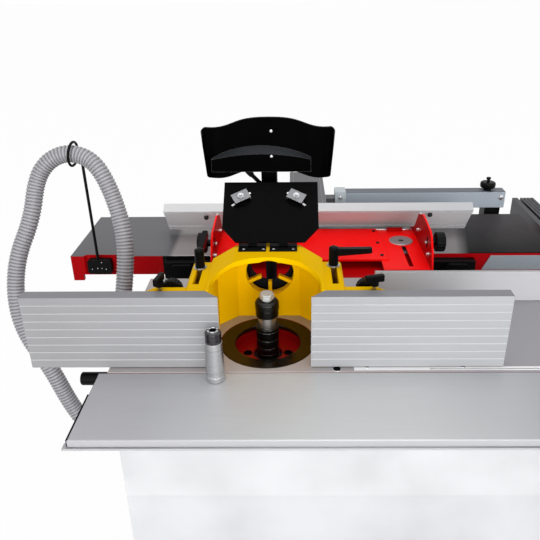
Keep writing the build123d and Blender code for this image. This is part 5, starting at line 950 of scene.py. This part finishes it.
# The planer fence's carriage: red sheet steel between two cheeks, sliding on a red support. A turned disc,
# screws and a guide slot are on its plate, and a ribbed knob at each cheek locks the tilt.

carriage = material("carriage_red")
sideways = carriage.facing("X")
drift = speckle(carriage, 5, 3)
sheet = blend(carriage, ramp(carriage, drift, 0.35, 0.7), tint(255, 10, 10), tint(246, 6, 8))
# The cheeks' side faces are painted a darker red as painted shade; the edges lighter, a painted highlight.
cheek_shade_red = blend(carriage, drift, tint(178, 2, 8), tint(150, 0, 6))
painted = blend(carriage, sideways * sideways > 0.6, sheet, cheek_shade_red)
carriage.coat(
    Base_Color=blend(carriage, edge_wear_and_highlight(carriage, PAINT_EDGE) * 0.5, painted, tint(255, 70, 60)),
    Roughness=ramp(carriage, drift, 0.3, 0.7, 0.32, 0.42),
    Specular_IOR_Level=0.06,
    Normal=bumped(carriage, speckle(carriage, 900, 2), 0.05, 0.0006, PAINT_EDGE),
)
dress(carriage, "fence_carriage")
shaded_red = sprayed("shaded_red", tint(186, 4, 8), tint(210, 30, 30), 0.4, 0.05, shine=0.04)
dress(shaded_red, "fence_support")
dress(black_knob, "tilt_knob")

DISC = [(0, 0), (34.5, 0), (34.5, 1.6), (33.5, 2.4), (8.5, 2.4), (8, 1.4), (0, 1.4)]
DISC_CENTRE = spot(375, 515.5, 21)
DISC_RECESS_SHADE = 0.008
disc = bmesh.new()
turn(disc, DISC, DISC_CENTRE, sides=48)
disc_grey = material("disc_grey")
centred = disc_grey.node(
    "ShaderNodeMapping",
    {"Vector": disc_grey.node("ShaderNodeTexCoord", out="Object"), "Location": DISC_CENTRE},
    {"vector_type": "TEXTURE"},
)
reach = disc_grey.node("ShaderNodeVectorMath", {0: centred}, {"operation": "LENGTH"}, out="Value")
turning = disc_grey.node("ShaderNodeTexWave", {"Vector": centred, "Scale": 260, "Distortion": 0.6},
                         {"wave_type": "RINGS", "rings_direction": "Z"})
turned_face = blend(disc_grey, turning, tint(150, 148, 150), tint(176, 174, 176))
disc_grey.coat(
    # Dark inside the centre recess: painted shade.
    Base_Color=blend(disc_grey, reach < DISC_RECESS_SHADE, turned_face, tint(40, 36, 38)),
    Metallic=0.8,
    Roughness=ramp(disc_grey, turning, 0, 1, 0.34, 0.44),
)
finished("carriage_disc", disc, "fence_carriage", disc_grey)
carriage_screws = bmesh.new()
for x, y in ((303, 586), (304, 495), (305, 407), (-130, 581), (-130, 407), (90, 581)):
    socket_screw(carriage_screws, spot(x, y, 24), (0, 0, 1), 5, 3)
finished("carriage_screws", carriage_screws, "fence_carriage", black_oxide)

CHEEK_INSIDES = ((424.5, -1), (-157.5, 1))
CHEEK_OUTSIDES = ((429.5, 1), (-162.5, -1))
KNOB_Y, KNOB_Z = 398, 68
KNOB_WASHER = [(11, 0), (17, 0), (17, 2.5), (16, 3.5), (11, 3.5)]
cheek_bolts = bmesh.new()
for y, z in ((515, 56), (368, 43)):
    for x, way in CHEEK_INSIDES + CHEEK_OUTSIDES:
        hex_head(cheek_bolts, spot(x, y, z), (way, 0, 0), 5, 6)
for x, way in CHEEK_INSIDES:
    socket_screw(cheek_bolts, spot(x, 396, 66), (way, 0, 0), 5, 5)
for x, way in CHEEK_OUTSIDES:
    turn(cheek_bolts, KNOB_WASHER, spot(x, KNOB_Y, KNOB_Z), (way, 0, 0))
finished("cheek_bolts", cheek_bolts, "fence_carriage", bright_steel)
# Dead-black plates over the cheeks' slots: painted shade in the slots.
cheek_slot_shade = bmesh.new()
for left in (423.8, -157.8):
    slab(cheek_slot_shade, (left, 388, 54), (left + 1, 400, 84), 0.4)
finished("cheek_slot_shade", cheek_slot_shade, "fence_carriage", dead_black)

KNOB = [(0, 0), (10, 0), (10, 16.5), (23, 16.5), (26.5, 20), (26.5, 39), (23, 42.5), (0, 42.5)]
KNOB_RIB = [(0, 19), (3, 19), (3, 40), (0, 40)]
KNOB_RIBS = 16
KNOB_RIB_REACH = 25
left_knob = bmesh.new()
left_face = CHEEK_OUTSIDES[1][0]
turn(left_knob, KNOB, spot(left_face, KNOB_Y, KNOB_Z), (-1, 0, 0), 48)
for step in range(KNOB_RIBS):
    angle = math.tau * step / KNOB_RIBS
    y, z = KNOB_Y + KNOB_RIB_REACH * math.cos(angle), KNOB_Z + KNOB_RIB_REACH * math.sin(angle)
    turn(left_knob, KNOB_RIB, spot(left_face, y, z), (-1, 0, 0), 10)
finished("left_tilt_knob", left_knob, "fence_carriage", black_knob)
hinge_strips = bmesh.new()
for left, right in ((312, 346), (392, 423)):
    slab(hinge_strips, (left, 597, 20.5), (right, 604, 26), 1.2)
for left, right in ((429.7, 434), (-167, -162.7)):
    slab(hinge_strips, (left, 520, 66), (right, 550, 100), 0.8)
finished("fence_hinge_strips", hinge_strips, "fence_carriage", bright_steel)
hinge_rest = bmesh.new()
slab(hinge_rest, (346, 590, 20.5), (392, 605, 29), 1.0)
finished("fence_hinge_rest", hinge_rest, "fence_carriage", shaded_red)

# The planer fence: a hollow aluminium extrusion, brushed along its length, that leans on two pins between the
# carriage's cheeks. Its face that looks down is painted lighter against its shade, and tinted cyan above the
# red carriage against the red light it catches there. Black screws clamp it.

planer_fence = material("planer_silver")
looks_down = planer_fence.facing("Z") < -0.2
across = planer_fence.place("X")
over_carriage = looks_down * ramp(planer_fence, across, -0.36, -0.3) * ramp(planer_fence, across, 0.3, 0.25)
lines = speckle(planer_fence, 6, 4, (1, 140, 140))
# Darker towards the right end; faces that look down are painted lighter, as painted light against their
# shade.
fence_tone = blend(planer_fence, ramp(planer_fence, across, -0.2, 0.35), tint(202, 202, 204), tint(164, 164, 168))
fence_tone = blend(planer_fence, looks_down, fence_tone, tint(234, 234, 236))
# A cyan tint over the carriage, stronger higher up: painted colour against the red light the web catches.
red_bounce_counter_tint = blend(planer_fence, ramp(planer_fence, planer_fence.place("Z"), 0.9, 0.955), tint(206, 216, 217),
               tint(182, 217, 219))
silver = blend(planer_fence, over_carriage, fence_tone, red_bounce_counter_tint)
planer_fence.coat(
    Base_Color=blend(planer_fence, lines * 0.2, silver, tint(236, 240, 240)),
    Roughness=ramp(planer_fence, lines, 0.25, 0.75, 0.5, 0.62),
    Metallic=0.05,
    Normal=rounded(planer_fence, 0.0006),
)
dress(planer_fence, "planer_fence")
FENCE_SCREW = [(0, 0), (7, 0), (7, 6), (5.5, 8), (0, 8)]
fence_screws = bmesh.new()
for x, z in ((468.5, 81), (-203.8, 75.4)):
    turn(fence_screws, FENCE_SCREW, spot(x, 582, z), (0, -0.766, -0.643), 20)
finished("fence_clamp_screws", fence_screws, "planer_fence", black_oxide)

# The cutter guard: a blue-grey square tube on a black post, with a pale end block, two bolts and a round
# black knob. Its aluminium bar slides on a bracket at the arm's left end and covers the cutter block.

BRACKET_END = 0.0318
arm = material("arm_grey")
drift = speckle(arm, 5, 3)
painted = blend(arm, drift, tint(156, 165, 175), tint(170, 179, 189))
# Tops painted darker: painted shade.
painted = blend(arm, up_facing(arm, 60), painted, tint(96, 99, 108))
arm.coat(
    Base_Color=blend(arm, arm.place("X") < BRACKET_END, painted, tint(88, 88, 92)),
    Roughness=ramp(arm, drift, 0.3, 0.7, 0.4, 0.5),
    Specular_IOR_Level=0.2,
    Normal=rounded(arm, 0.0012),
)
dress(arm, "guard_arm")
dress(hinge_black, "guard_post")
dress(black_knob, "arm_knob")
bar_grey = drawn("bar_grey", tint(84, 84, 87), tint(104, 104, 107), 0.42, (140, 1, 140), 0.0012, 0.6)
dress(bar_grey, "guard_bar")
block_grey = sprayed("block_grey", tint(186, 193, 197), tint(214, 218, 220), 0.4, 0.05, shine=0.2)
end_block = bmesh.new()
slab(end_block, (198.2, 795, 22), (234, 847, 80), 1.5)
finished("arm_end_block", end_block, "guard_arm", block_grey)
arm_bolts = bmesh.new()
hex_head(arm_bolts, spot(216, 795, 60), (0, -1, 0), 5, 6)
hex_head(arm_bolts, spot(752, 799, 56), (0, -1, 0), 6, 7)
finished("arm_bolts", arm_bolts, "guard_arm", bright_steel)
